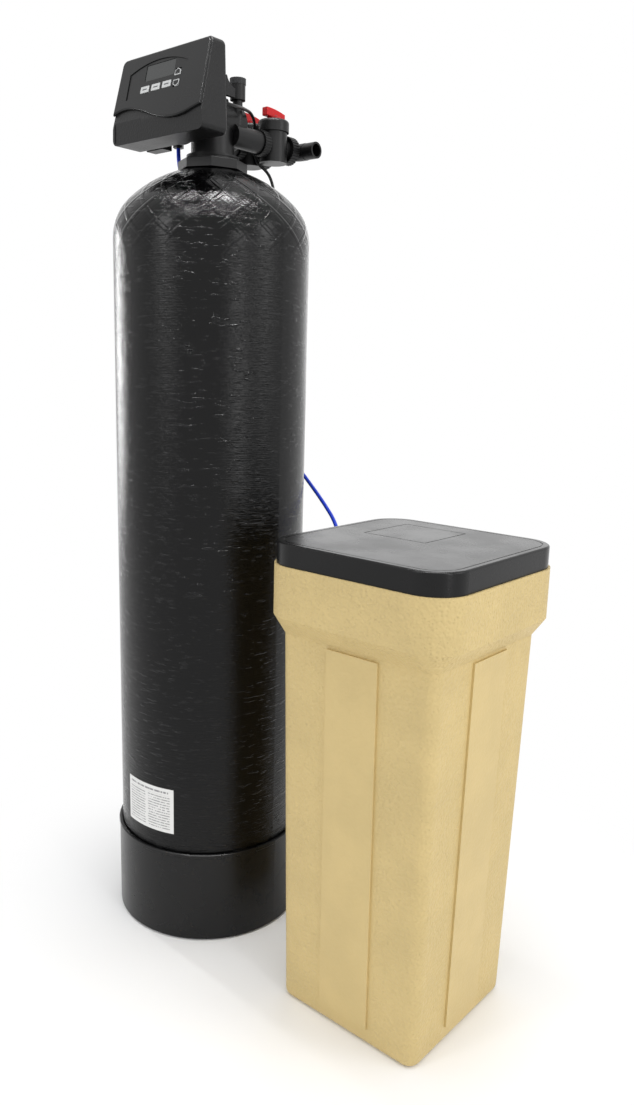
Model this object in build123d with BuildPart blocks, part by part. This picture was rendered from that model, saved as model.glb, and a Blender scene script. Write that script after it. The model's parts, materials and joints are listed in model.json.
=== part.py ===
"""Water softener: mineral tank, metered control valve, bypass and brine tank.

Millimetres. The origin is on the floor under the mineral tank's axis, +Z is up, the
valve's front faces -Y and the brine tank stands beside the mineral tank, on +X.
"""

from build123d import *
from math import atan2, cos, degrees, hypot, pi, radians, sin, sqrt, tan
import os

os.makedirs("parts", exist_ok=True)

# Shared clearances
fit_gap = 0.3
running_gap = 0.08
slide_gap = 0.5
overrun = 2.0

# Mineral tank: a wound shell with a domed top and bottom
tank_radius = 152.4
tank_wall = 4.0
shoulder_z = 1116.5
dome_rise = 109.5
dome_knuckle = 79.0
crown_cut = 5.0
neck_bore = 32.0
neck_depth = 14.0
neck_wall = 10.0
bottom_rise = 86.0
bottom_knuckle = 62.0
foot_cut = 8.0

# Boot that the mineral tank stands in
boot_height = 154.5
boot_wall = 3.6
boot_gap = 1.5
boot_floor = 4.0
boot_edge = 3.0
boot_bead = 1.2
boot_bead_height = 7.0

# Data label on the mineral tank
label_thickness = 0.3
label_width = 101.0
label_height = 76.5
label_base_z = 184.5
label_azimuth = -84.6

# Distributor and media inside the mineral tank
riser_radius = 13.35
riser_bore = 10.4
basket_radius = 24.0
basket_wall = 2.5
basket_height = 92.0
basket_slot = 1.0
basket_slot_length = 52.0
basket_slot_count = 16
gravel_height = 122.0
resin_height = 745.0
bed_gap = 0.4
screen_radius = 22.5
screen_height = 44.0
screen_wall = 2.2

# Tank adapter between the mineral tank and the valve
flange_circle = 53.0
flange_height = 13.5
flange_sides = 8
collar_radius = 40.0
collar_height = 8.5
collar_groove = 1.6
spigot_length = 26.0
adapter_bore = 26.0
adapter_ledge = 3.0
adapter_edge = 1.0
seal_inner = 28.0
seal_outer = 32.0
seal_depth = 2.0

# Valve body: neck, barrel, two rear ports and the towers on top
body_neck_radius = 33.0
port_rise = 31.0
port_half_span = 27.0
port_radius = 16.5
port_bore = 12.5
port_reach = 69.0
port_root = 14.0
port_bore_root = 26.0
thread_length = 10.0
thread_depth = 1.9
barrel_lift = 18.0
barrel_radius = 34.0
barrel_bore = 28.0
barrel_front = 62.0
barrel_back = 44.0
barrel_end_wall = 4.0
barrel_flange_radius = 41.5
barrel_flange_length = 6.0
barrel_edge = 3.0
body_neck_bore = 24.0
body_neck_floor = 19.0
neck_hole = 4.0
neck_hole_offset = 17.0
tower_y = 26.0
tower_radius = 11.6
tower_stem_radius = 7.5
tower_stem_height = 33.0
tower_height = 55.0
tower_bore = 7.0
tower_bore_depth = 22.0
tower_passage = 2.5
drain_tower_height = 34.0
brine_boss_radius = 9.0
brine_boss_reach = 50.0
brine_port_y = 2.0
brine_port_bore = 4.5
brine_port_depth = 12.0

# Spacer stack and piston inside the barrel
stack_bore = 14.2
stack_groove = 2.4
stack_groove_width = 5.0
stack_groove_count = 5
stack_window = 3.6
piston_length = 30.0
piston_rod_radius = 9.0
piston_rod_length = 38.0
piston_waist = 3.0
spindle_radius = 4.6
rod_bore_depth = 40.0

# Drive: cap, gears, motor and bracket
cap_depth = 9.0
cap_boss_radius = 15.0
cap_boss_height = 3.5
gear_module = 1.25
main_teeth = 48
small_teeth = 12
large_teeth = 32
gear_width = 6.0
gear_layer_gap = 1.5
tooth_share = 0.25
tip_share = 0.12
addendum_share = 0.85
root_share = 1.2
gear_axle_radius = 2.2
reduction_angle = -20.0
motor_angle = 0.0
motor_radius = 12.5
motor_length = 22.0
motor_shaft_radius = 1.5
bracket_thickness = 2.4
bracket_half_width = 80.0
bracket_bottom = 10.0
bracket_top = 82.0
bracket_leg = 7.0
motor_boss_radius = 4.0

# Power head: housing and front cover
head_lift = 6.0
head_height = 125.0
head_half_bottom = 99.5
head_half_top = 95.0
head_reach = 112.5
head_back = 62.0
head_wall = 2.8
head_corner = 9.0
head_rear_corner = 6.0
fold_height = 38.0
fold_reach = 114.5
fold_setback = 22.5
cover_thickness = 4.0
cover_length = 87.5
cover_edge = 2.0
cover_corner = 9.0
seam_gap = 0.3
seam_chamfer = 1.2
wave_height = 13.0
wave_shares = ((-1.0, 0.45), (-0.74, 0.85), (-0.38, 0.42), (-0.02, -0.55), (0.33, -1.12),
               (0.64, -1.08), (0.9, -0.62), (1.0, -0.45))
rear_opening = 24.0
lower_wall_top = 14.0
skirt_depth = 5.0
skirt_wall = 2.0
badge_width = 62.0
badge_height = 28.0
badge_depth = 0.8
badge_margin = 4.0
bulge_near = 44.0
bulge_far = 82.0
bulge_depth = 18.0
bulge_height = 40.0
arm_reach = 16.0
arm_height = 12.0
arm_thickness = 6.0
arm_rise = 54.0
arm_root = 20.0
arm_flare = 14.0
arm_inset = 1.0

# Fascia on the cover: recess, window and five keys, measured along the cover's slope
fascia_left = -72.0
fascia_right = 56.0
fascia_low = 23.5
fascia_dip = 14.0
fascia_top = 75.0
fascia_shoulder = 62.0
fascia_depth = 1.2
window_left = -36.0
window_right = 28.0
window_low = 46.5
window_high = 70.0
window_ledge = 2.5
lens_thickness = 1.6
lens_inset = 0.6
key_centres = (-31.5, -7.3, 16.8)
key_rise = 34.3
key_width = 18.4
key_height = 9.2
arrow_centre = 37.5
arrow_up_rise = 48.8
arrow_down_rise = 32.2
arrow_width = 12.4
arrow_height = 9.6
arrow_point_share = 0.36
key_proud = 0.8
key_travel = 0.8
key_flange = 1.4
key_flange_thickness = 1.0
key_stem_radius = 2.0

# Circuit board behind the cover
board_gap = 12.0
board_thickness = 1.6
board_left = -62.0
board_right = 62.0
board_low = 23.0
board_high = 80.0
display_margin = 1.0
display_depth = 11.0
switch_half = 3.0
switch_height = 3.5
rib_thickness = 3.0
rib_offset = 50.0

# Screws that hold the housing and the bracket
screw_radius = 2.0
screw_length = 8.0
screw_head_radius = 3.8
screw_head_height = 2.4
screw_circle = 36.5
screw_count = 4

# Injector, drain and brine fittings on the valve
injector_radius = 6.8
injector_tip_radius = 4.0
injector_tip_length = 8.0
injector_cap_radius = 12.4
injector_cap_height = 8.5
cap_rib_count = 24
cap_rib_depth = 0.7
drain_radius = 8.0
drain_bore = 5.0
drain_rise = 14.0
drain_reach = 53.0
drain_bend = 12.0
drain_barb = 1.1
drain_barb_pitch = 7.0
brine_elbow_radius = 7.0
brine_elbow_bore = 3.0
brine_drop = 14.0
brine_bend = 9.0
brine_outlet_x = 82.0
brine_nut_radius = 8.5
brine_nut_height = 12.0

# Meter wheel in the outlet port
wheel_y = 50.5
wheel_radius = 11.0
wheel_width = 6.0
wheel_hub_radius = 3.2
wheel_blade = 1.4
wheel_lean = 2.2
wheel_blade_count = 6
wheel_shaft_radius = 1.2
spider_y = 54.3
spider_thickness = 2.4

# Bypass: two rotor housings joined by a cross pipe
bypass_y = 106.0
housing_radius = 22.0
housing_drop = 25.0
housing_top = 27.0
housing_bore = 17.0
housing_floor = 4.0
spigot_radius = 12.3
spigot_bore = 9.5
spigot_end = 58.0
spigot_collar = 14.3
spigot_collar_length = 2.0
seal_spots = (62.5, 68.5)
cross_radius = 12.0
nut_start = 70.0
nut_end = 83.6
nut_radius = 19.5
nut_rib_depth = 1.0
nut_rib_count = 28
outlet_reach = 34.0
rotor_cap_radius = 24.8
rotor_cap_height = 18.0
rotor_cap_skirt = 6.0
rotor_cap_edge = 5.0
rotor_passage = 9.0
rotor_stem_radius = 6.5
rotor_stem_rise = 7.0
handle_hub_radius = 10.5
handle_hub_height = 4.0
handle_length = 42.0
handle_thickness = 11.0
handle_low = 8.0
handle_high = 12.5
handle_edge = 1.2
handle_arch = 1.5
seal_wire = 0.8

# Pipe elbows behind the bypass
elbow_y = 160.0
elbow_nut_start = 131.2
elbow_nut_end = 146.4
elbow_nut_radius = 21.5
elbow_radius = 13.2
elbow_stub_radius = 12.7
elbow_stub_x = 50.0
elbow_bore = 9.8
elbow_bend = 14.0
elbow_end_x = 72.0

# Brine tank: tapered square tub with a wider collar
brine_x = 405.8
brine_y = 2.0
brine_wall = 4.0
brine_foot_corner = 18.0
brine_edge = 9.0
collar_half = 151.0
collar_overhang = 22.0
brine_taper = 9.0
brine_top_half = collar_half - collar_overhang
brine_foot_half = brine_top_half - brine_taper
collar_corner = 52.0
collar_start_z = 570.0
collar_full_z = 598.0
collar_rim_z = 670.0
brine_neck_inset = 8.0
brine_neck_half = collar_half - brine_neck_inset
brine_neck_height = 22.0
panel_half_width = 42.5
panel_proud = 3.0
panel_base_z = 26.0
panel_edge = 2.0

# Lid of the brine tank
lid_inset = 3.0
lid_half = collar_half - lid_inset
lid_corner = collar_corner - lid_inset
lid_height = 31.0
lid_wall = 3.0
lid_edge = 3.0
lid_groove_inset = 9.0
lid_groove_width = 1.6
lid_groove_depth = 0.8
hatch_x = -34.0
hatch_y = 52.0
hatch_half = 53.0

# Brine well, float valve and grid
well_y = 68.0
well_radius = 45.0
well_gap = 2.2
well_x = well_radius + well_gap + brine_wall - brine_foot_half
well_wall = 2.5
well_height = 672.0
well_hole = 5.0
well_hole_rise = 60.0
well_cap_skirt = 8.0
well_cap_thickness = 3.0
fitting_y = 86.0
fitting_z = 655.0
fitting_flange_radius = 14.0
fitting_flange_thickness = 3.5
fitting_nut_radius = 10.5
fitting_nut_length = 23.3
fitting_pipe_radius = 5.5
fitting_bore = 2.0
valve_x = -91.8
valve_radius = 8.5
valve_length = 46.0
valve_rise = 13.0
valve_boss_reach = 14.0
dip_radius = 4.0
dip_bottom = 24.0
check_radius = 10.0
check_length = 42.0
float_x = -60.8
float_y = 58.0
float_radius = 16.5
float_height = 42.0
float_rod_radius = 2.4
float_rod_low = 15.0
float_rod_high = 460.0
float_stop_z = 150.0
guide_plate = 5.0
guide_half_width = 5.0
guide_radius = 7.0
guide_drop = 62.0
guide_spacing = 220.0
clip_radius = 4.5
clip_height = 3.0
grid_z = 140.0
grid_plate = 6.0
grid_half = 114.0
grid_hole_radius = 4.0
grid_pitch = 24.0
grid_count = 4
grid_leg_radius = 12.0
grid_leg_wall = 2.5
grid_leg_offset = 80.0
grid_leg_shares = ((1, 1), (1, -1), (-1, -1), (0.2, 0.9))

# Overflow elbow on the far wall of the brine tank
overflow_z = 618.0
overflow_radius = 9.0
overflow_bore = 6.0
overflow_flange = 15.0
overflow_flange_thickness = 3.0
overflow_reach = 26.0
overflow_drop = 22.0
overflow_x = 40.0

# Brine line between the valve and the brine tank
line_radius = 3.2
line_points = ((-82, 2, 1266), (-82, 2, 1243), (-87, 15, 1222), (-96, 44, 1207), (-101, 77, 1190),
               (-104, 108, 1160), (-103, 128, 1118), (-99, 138, 1055), (-92, 144, 985),
               (-79, 151, 915), (-56, 162, 851), (-22, 173, 801), (22, 174, 768),
               (67, 160, 742), (122, 141, 710), (174, 117, 680), (203, 88, 655), (228, 88, 655))

# Power lead, from the gland on the housing to a coil on the floor and the adapter
lead_radius = 2.4
gland_x = 84.0
gland_rise = 47.0
gland_radius = 6.0
gland_length = 9.0
lead_points = ((84, -53, 1296), (84, -34, 1296), (66, -6, 1303), (47, 22, 1309), (30, 52, 1313),
               (16, 75, 1306), (2, 87, 1281), (0, 94, 1252), (8, 114, 1240), (12, 122, 1222),
               (11, 128, 1202), (9, 138, 1178), (7, 149, 1152), (5, 158, 1118), (4, 161, 1060),
               (2, 162, 992), (1, 163, 924), (-2, 163, 856), (-4, 162, 788), (-8, 162, 720),
               (-11, 163, 652), (-16, 163, 584), (-21, 164, 516), (-27, 164, 448),
               (-33, 165, 380), (-40, 165, 312), (-46, 166, 248), (-51, 168, 188),
               (-55, 171, 130), (-59, 175, 74), (-64.1, 177.7, 34.3))
coil_centre_x = -114.0
coil_centre_y = 176.0
coil_radius = 26.4
coil_start_angle = 60.0
coil_pitch = 5.6
coil_quarter_count = 9
coil_lift = 2.45
coil_tail = 33.0
coil_approach = 24.0
bend_share = 0.45
sample_count = 400
tie_width = 5.0
tie_wall = 1.0
tie_gap = 0.3
supply_length = 46.0
supply_width = 34.0
supply_height = 30.0
supply_edge = 3.0
blade_length = 15.0
blade_width = 6.4
blade_thickness = 1.5
blade_span = 12.7

# Angles
full_turn = 360.0
quarter_turn = 90.0

# Levels and positions that follow from the sizes above
tank_top_z = shoulder_z + dome_rise - crown_cut
tank_low_z = boot_floor + bottom_rise - foot_cut
tank_floor_z = boot_floor + tank_wall
collar_base_z = tank_top_z + flange_height
valve_base_z = collar_base_z + collar_height
port_z = valve_base_z + port_rise
barrel_z = port_z + barrel_lift
head_bottom_z = valve_base_z + head_lift
head_top_z = head_bottom_z + head_height
fold_z = head_bottom_z + fold_height
cover_tilt = atan2(fold_setback, head_height - fold_height)
housing_face = cover_thickness + seam_gap
board_face = cover_thickness + board_gap
board_back = board_face + board_thickness
wall_front = head_back + head_wall
tower_top_z = barrel_z + tower_height
housing_base_z = port_z - housing_drop
housing_top_z = port_z + housing_top
rotor_cap_top_z = housing_top_z + rotor_cap_height - rotor_cap_skirt
lid_top_z = collar_rim_z + lid_height
well_top_z = brine_wall + well_height


def upright(x, y):
    """Plane on the floor whose normal is +Z, centred on a point."""
    return Plane(origin=(x, y, 0), z_dir=(0, 0, 1))


def facing(x, z):
    """Plane whose normal is -Y, with X and Z as its directions."""
    return Plane(origin=(x, 0, z), x_dir=(1, 0, 0), z_dir=(0, -1, 0))


def behind(x, z):
    """Plane whose normal is +Y."""
    return Plane(origin=(x, 0, z), x_dir=(1, 0, 0), z_dir=(0, 1, 0))


def sideways(y, z):
    """Plane whose normal is +X, with Y and Z as its directions."""
    return Plane(origin=(0, y, z), x_dir=(0, 1, 0), z_dir=(1, 0, 0))


def bar(plane, radius, start, end, bore=0):
    """Round bar along a plane's normal between two offsets, hollow when a bore is given."""
    with BuildPart() as body:
        with BuildSketch(plane.offset(start)):
            Circle(radius)
            if bore:
                Circle(bore, mode=Mode.SUBTRACT)
        extrude(amount=end - start)
    return body.part


def slab(plane, width, depth, start, end):
    """Rectangular bar along a plane's normal between two offsets."""
    with BuildPart() as body:
        with BuildSketch(plane.offset(start)):
            Rectangle(width, depth)
        extrude(amount=end - start)
    return body.part


def torus_at(plane, offset, radius, wire):
    """Round ring about a plane's normal."""
    spot = plane.offset(offset)
    with BuildPart() as body:
        with BuildSketch(Plane(origin=spot.origin, x_dir=spot.x_dir, z_dir=spot.y_dir)):
            with Locations((radius, 0)):
                Circle(wire)
        revolve(axis=Axis(spot.origin, spot.z_dir))
    return body.part


def elbow(points, bend, radius, bore):
    """Bent pipe along two or more straight runs."""
    with BuildPart() as body:
        with BuildLine() as path:
            FilletPolyline(*points, radius=bend)
        with BuildSketch(Plane(origin=path.line @ 0, z_dir=path.line % 0)):
            Circle(radius)
            Circle(bore, mode=Mode.SUBTRACT)
        sweep()
    return body.part


def ribbed(plane, radius, start, end, count, depth):
    """Knob or nut with shallow flutes cut along it."""
    flute = pi * radius / count / 2
    with BuildPart() as body:
        with BuildSketch(plane.offset(start)):
            Circle(radius)
            with PolarLocations(radius + flute - depth, count):
                Circle(flute, mode=Mode.SUBTRACT)
        extrude(amount=end - start)
    return body.part


def dome_form(rise, knuckle):
    """Reach of the knuckle's centre, crown radius and the angle where the two arcs join."""
    reach = tank_radius - knuckle
    crown = (reach**2 + rise**2 - knuckle**2) / (2 * (rise - knuckle))
    return reach, crown, atan2(crown - rise, reach)


def vessel(inset, low, high):
    """Mineral tank's outline drawn in by an inset and cut flat at two levels."""
    top_reach, top_crown, top_join = dome_form(dome_rise, dome_knuckle)
    low_reach, low_crown, low_join = dome_form(bottom_rise, bottom_knuckle)
    top_tip = (0, shoulder_z + dome_rise - inset)
    low_tip = (0, tank_low_z - bottom_rise + inset)

    def on_top(angle):
        reach = dome_knuckle - inset
        return (top_reach + reach * cos(angle), shoulder_z + reach * sin(angle))

    def on_crown(angle):
        reach = top_crown - inset
        return (reach * cos(angle), shoulder_z + dome_rise - top_crown + reach * sin(angle))

    def on_low(angle):
        reach = bottom_knuckle - inset
        return (low_reach + reach * cos(angle), tank_low_z - reach * sin(angle))

    def on_base(angle):
        reach = low_crown - inset
        return (reach * cos(angle), tank_low_z - bottom_rise + low_crown - reach * sin(angle))

    upright_angle = radians(quarter_turn)
    with BuildPart() as body:
        with BuildSketch(Plane.XZ):
            with BuildLine():
                ThreePointArc(on_top(0), on_top(top_join / 2), on_top(top_join))
                ThreePointArc(on_top(top_join), on_crown((top_join + upright_angle) / 2), top_tip)
                ThreePointArc(on_low(0), on_low(low_join / 2), on_low(low_join))
                ThreePointArc(on_low(low_join), on_base((low_join + upright_angle) / 2), low_tip)
                Line(on_low(0), on_top(0))
                Line(low_tip, top_tip)
            make_face()
        revolve(axis=Axis.Z)
        add(bar(upright(0, 0), tank_radius + overrun, low, high), mode=Mode.INTERSECT)
    return body.part


# Mineral tank
tank_shell = vessel(0, boot_floor, tank_top_z)
tank_cavity = vessel(tank_wall, tank_floor_z, tank_top_z - tank_wall)
neck_ring = bar(upright(0, 0), neck_bore + neck_wall, tank_top_z - neck_depth, tank_top_z)
neck_passage = bar(upright(0, 0), neck_bore, tank_top_z - neck_depth - overrun, tank_top_z)
with BuildPart() as resin_tank:
    add(tank_shell)
    add(tank_cavity, mode=Mode.SUBTRACT)
    add(neck_ring)
    add(neck_passage, mode=Mode.SUBTRACT)

# Boot: an open cup with a bead at its rim
boot_radius = tank_radius + boot_gap + boot_wall
boot_inner = tank_radius + boot_gap
bead_z = boot_height - boot_bead_height
with BuildPart() as tank_boot:
    with BuildSketch(Plane.XZ):
        Polygon((0, 0), (boot_radius - boot_edge, 0), (boot_radius, boot_edge),
                (boot_radius, bead_z), (boot_radius + boot_bead, bead_z + boot_bead),
                (boot_radius + boot_bead, boot_height - boot_bead),
                (boot_radius, boot_height), (boot_inner, boot_height),
                (boot_inner, boot_floor), (0, boot_floor), align=None)
    revolve(axis=Axis.Z)

# Label wrapped round the shell
label_span = degrees(label_width / tank_radius)
label_start = radians(label_azimuth - label_span / 2)
label_inner = tank_radius + running_gap
label_plane = Plane(origin=(0, 0, 0), x_dir=(cos(label_start), sin(label_start), 0),
                    z_dir=(sin(label_start), -cos(label_start), 0))
with BuildPart() as tank_label:
    with BuildSketch(label_plane):
        with Locations((label_inner + label_thickness / 2, label_base_z + label_height / 2)):
            Rectangle(label_thickness, label_height)
    revolve(axis=Axis.Z, revolution_arc=label_span)

# Riser with its slotted basket at the foot
riser_top_z = valve_base_z + body_neck_floor - fit_gap
basket_top_z = tank_floor_z + basket_height
basket_outer = bar(upright(0, 0), basket_radius, tank_floor_z, basket_top_z)
basket_inner = bar(upright(0, 0), basket_radius - basket_wall, tank_floor_z + basket_wall,
                   basket_top_z - basket_wall)
riser_tube = bar(upright(0, 0), riser_radius, basket_top_z - basket_wall, riser_top_z)
riser_hole = bar(upright(0, 0), riser_bore, basket_top_z - basket_wall, riser_top_z)
slot_base_z = tank_floor_z + (basket_height - basket_slot_length) / 2
with BuildPart() as distributor_tube:
    add(basket_outer)
    add(basket_inner, mode=Mode.SUBTRACT)
    add(riser_tube)
    add(riser_hole, mode=Mode.SUBTRACT)
    with BuildSketch(Plane.XY.offset(slot_base_z)):
        with PolarLocations(basket_radius, basket_slot_count):
            Rectangle(basket_wall * 4, basket_slot)
    extrude(amount=basket_slot_length, mode=Mode.SUBTRACT)

# Screen that hangs in the adapter round the riser
ledge_z = tank_top_z - spigot_length + adapter_ledge
screen_hang_z = ledge_z - screen_height
riser_gap = riser_radius + fit_gap
with BuildPart() as top_basket:
    with BuildSketch(Plane.XZ):
        Polygon((riser_gap, screen_hang_z), (screen_radius, screen_hang_z),
                (screen_radius, ledge_z), (adapter_bore - fit_gap, ledge_z),
                (adapter_bore - fit_gap, ledge_z + screen_wall),
                (screen_radius - screen_wall, ledge_z + screen_wall),
                (screen_radius - screen_wall, screen_hang_z + screen_wall),
                (riser_gap, screen_hang_z + screen_wall), align=None)
    revolve(axis=Axis.Z)
    with BuildSketch(Plane.XY.offset(screen_hang_z + screen_wall * 2)):
        with PolarLocations(screen_radius, basket_slot_count):
            Rectangle(screen_wall * 4, basket_slot)
    extrude(amount=screen_height - screen_wall * 4, mode=Mode.SUBTRACT)

# Resin and gravel, drawn in from the shell and from the riser
bed_hole = riser_radius + bed_gap
resin_block = vessel(tank_wall + bed_gap, gravel_height, resin_height)
resin_hole = bar(upright(0, 0), bed_hole, gravel_height, resin_height)
with BuildPart() as resin_bed:
    add(resin_block)
    add(resin_hole, mode=Mode.SUBTRACT)
gravel_block = vessel(tank_wall + bed_gap, tank_floor_z, gravel_height)
basket_hole = bar(upright(0, 0), basket_radius + bed_gap, tank_floor_z, basket_top_z + bed_gap)
gravel_hole = bar(upright(0, 0), bed_hole, basket_top_z, gravel_height)
with BuildPart() as gravel_bed:
    add(gravel_block)
    add(basket_hole, mode=Mode.SUBTRACT)
    add(gravel_hole, mode=Mode.SUBTRACT)

# Adapter: octagonal flange, round collar and the spigot in the tank's neck
spigot_radius_top = neck_bore - fit_gap
spigot_z = tank_top_z - spigot_length
groove_z = collar_base_z + collar_height / 2
groove_ring = bar(upright(0, 0), collar_radius + overrun, groove_z - collar_groove / 2,
                  groove_z + collar_groove / 2, collar_radius - collar_groove)
with BuildPart() as neck_adapter:
    with BuildSketch(Plane.XY.offset(tank_top_z)):
        RegularPolygon(radius=flange_circle, side_count=flange_sides)
    extrude(amount=flange_height)
    chamfer(neck_adapter.faces().sort_by(Axis.Z)[-1].edges(), adapter_edge)
    with BuildSketch(Plane.XY.offset(collar_base_z)):
        Circle(collar_radius)
    extrude(amount=collar_height)
    with BuildSketch(Plane.XY.offset(spigot_z)):
        Circle(spigot_radius_top)
    extrude(amount=spigot_length)
    with BuildSketch(Plane.XY.offset(ledge_z)):
        Circle(adapter_bore)
    extrude(amount=valve_base_z - ledge_z, mode=Mode.SUBTRACT)
    with BuildSketch(Plane.XY.offset(spigot_z)):
        Circle(screen_radius + slide_gap)
    extrude(amount=adapter_ledge, mode=Mode.SUBTRACT)
    with BuildSketch(Plane.XY.offset(valve_base_z - seal_depth)):
        Circle(seal_outer + fit_gap)
        Circle(seal_inner - fit_gap, mode=Mode.SUBTRACT)
    extrude(amount=seal_depth, mode=Mode.SUBTRACT)
    add(groove_ring, mode=Mode.SUBTRACT)

# Flat ring that seals the valve to the adapter
with BuildPart() as neck_seal:
    add(bar(upright(0, 0), seal_outer, valve_base_z - seal_depth, valve_base_z, seal_inner))

# Valve body: neck, barrel, two ports and the towers, bored right through
port_x = port_half_span
barrel_back_inner = barrel_back - barrel_end_wall
thread_radius = port_radius - thread_depth
port_end = port_reach + thread_length
tower_bore_z = tower_top_z - tower_bore_depth
drain_tower_z = barrel_z + drain_tower_height
spider_end = spider_y + spider_thickness
neck_bar = bar(upright(0, 0), body_neck_radius, valve_base_z, barrel_z)
barrel_bar = bar(behind(0, barrel_z), barrel_radius, -barrel_front, barrel_back)
barrel_flange = bar(behind(0, barrel_z), barrel_flange_radius, -barrel_front,
                    barrel_flange_length - barrel_front)
port_bars = [bar(behind(side * port_x, port_z), port_radius, port_root, port_reach)
             for side in (-1, 1)]
thread_bars = [bar(behind(side * port_x, port_z), thread_radius, port_reach, port_end)
               for side in (-1, 1)]
tower_spot = upright(port_x, tower_y)
tower_stem = bar(tower_spot, tower_stem_radius, port_z, barrel_z + tower_stem_height)
tower_bar = bar(tower_spot, tower_radius, barrel_z + tower_stem_height, tower_top_z)
drain_tower = bar(upright(-port_x, tower_y), tower_stem_radius, port_z, drain_tower_z)
brine_boss = bar(sideways(brine_port_y, barrel_z), brine_boss_radius, -brine_boss_reach,
                 -barrel_bore - barrel_end_wall)
barrel_hole = bar(behind(0, barrel_z), barrel_bore, -barrel_front, barrel_back_inner)
port_holes = [bar(behind(side * port_x, port_z), port_bore, port_bore_root, port_end)
              for side in (-1, 1)]
neck_hole_wide = bar(upright(0, 0), body_neck_bore, valve_base_z, valve_base_z + body_neck_floor)
neck_hole_riser = bar(upright(0, 0), riser_bore, valve_base_z, barrel_z)
neck_holes = [bar(upright(0, side * neck_hole_offset), neck_hole, valve_base_z, barrel_z)
              for side in (-1, 1)]
tower_hole = bar(tower_spot, tower_bore, tower_bore_z, tower_top_z)
tower_duct = bar(tower_spot, tower_passage, barrel_z, tower_top_z)
drain_hole = bar(upright(-port_x, tower_y), drain_bore, barrel_z, drain_tower_z)
brine_hole = bar(sideways(brine_port_y, barrel_z), brine_port_bore, -brine_boss_reach,
                 brine_port_depth - brine_boss_reach)
brine_duct = bar(sideways(brine_port_y, barrel_z), tower_passage, -brine_boss_reach, 0)
spider_bore = bar(behind(port_x, port_z), wheel_shaft_radius + running_gap, spider_y, spider_end)
spider_bars = [slab(Plane(origin=(port_x, 0, port_z), x_dir=(cos(radians(turn)), 0, sin(radians(turn))),
                          z_dir=(0, 1, 0)), port_bore * 2, spider_thickness, spider_y, spider_end)
               for turn in (0, full_turn / 6, full_turn / 3)]
with BuildPart() as valve_body:
    add(neck_bar)
    add(barrel_bar)
    chamfer(valve_body.edges().filter_by(GeomType.CIRCLE).sort_by(Axis.Y)[-1], barrel_edge)
    add(barrel_flange)
    add(port_bars)
    add(thread_bars)
    add(tower_stem)
    add(tower_bar)
    add(drain_tower)
    add(brine_boss)
    add(barrel_hole, mode=Mode.SUBTRACT)
    add(port_holes, mode=Mode.SUBTRACT)
    add(neck_hole_wide, mode=Mode.SUBTRACT)
    add(neck_hole_riser, mode=Mode.SUBTRACT)
    add(neck_holes, mode=Mode.SUBTRACT)
    add(tower_hole, mode=Mode.SUBTRACT)
    add(tower_duct, mode=Mode.SUBTRACT)
    add(drain_hole, mode=Mode.SUBTRACT)
    add(brine_hole, mode=Mode.SUBTRACT)
    add(brine_duct, mode=Mode.SUBTRACT)
    add(spider_bars)
    add(spider_bore, mode=Mode.SUBTRACT)
    with BuildSketch(facing(0, barrel_z).offset(barrel_front)):
        with PolarLocations(screw_circle, screw_count, start_angle=full_turn / screw_count / 2):
            Circle(screw_radius + fit_gap)
    extrude(amount=-screw_length, mode=Mode.SUBTRACT)

# Spacer stack: a sleeve with outer grooves and round windows
stack_front = cap_depth - barrel_front
stack_length = barrel_back_inner - stack_front
stack_radius = barrel_bore - fit_gap
stack_sleeve = bar(behind(0, barrel_z), stack_radius, stack_front, barrel_back_inner, stack_bore)
groove_spots = [stack_front + stack_length * (index + 1 / 2) / stack_groove_count
                for index in range(stack_groove_count)]
groove_rings = [bar(behind(0, barrel_z), stack_radius + overrun, spot - stack_groove_width / 2,
                    spot + stack_groove_width / 2, stack_radius - stack_groove)
                for spot in groove_spots]
window_bars = [bar(sideways(spot, barrel_z), stack_window, -stack_radius, stack_radius)
               for spot in groove_spots]
window_posts = [bar(upright(0, spot), stack_window, barrel_z - stack_radius, barrel_z + stack_radius)
                for spot in groove_spots]
with BuildPart() as spacer_stack:
    add(stack_sleeve)
    add(groove_rings, mode=Mode.SUBTRACT)
    add(window_bars, mode=Mode.SUBTRACT)
    add(window_posts, mode=Mode.SUBTRACT)

# Piston with a waist and a hollow rod
piston_front = piston_rod_length - barrel_front + cap_depth / 2
piston_back = piston_front + piston_length
rod_front = piston_front - piston_rod_length
piston_radius = stack_bore - running_gap
waist_length = piston_length / 3
piston_head = bar(behind(0, barrel_z), piston_radius, piston_front, piston_back)
piston_groove = bar(behind(0, barrel_z), piston_radius + overrun, piston_front + waist_length,
                    piston_back - waist_length, piston_radius - piston_waist)
piston_rod = bar(behind(0, barrel_z), piston_rod_radius, rod_front, piston_front)
rod_hole = bar(behind(0, barrel_z), spindle_radius + fit_gap, rod_front, rod_front + rod_bore_depth)
with BuildPart() as main_piston:
    add(piston_head)
    add(piston_groove, mode=Mode.SUBTRACT)
    add(piston_rod)
    add(rod_hole, mode=Mode.SUBTRACT)

# Cap that closes the barrel, with the boss that the main gear runs against
cap_plug = bar(facing(0, barrel_z), barrel_bore - fit_gap, barrel_front - cap_depth, barrel_front)
cap_boss = bar(facing(0, barrel_z), cap_boss_radius, barrel_front, barrel_front + cap_boss_height)
cap_hole = bar(facing(0, barrel_z), piston_rod_radius + running_gap, barrel_front - cap_depth,
               barrel_front + cap_boss_height)
with BuildPart() as drive_cap:
    add(cap_plug)
    add(cap_boss)
    add(cap_hole, mode=Mode.SUBTRACT)


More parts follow.
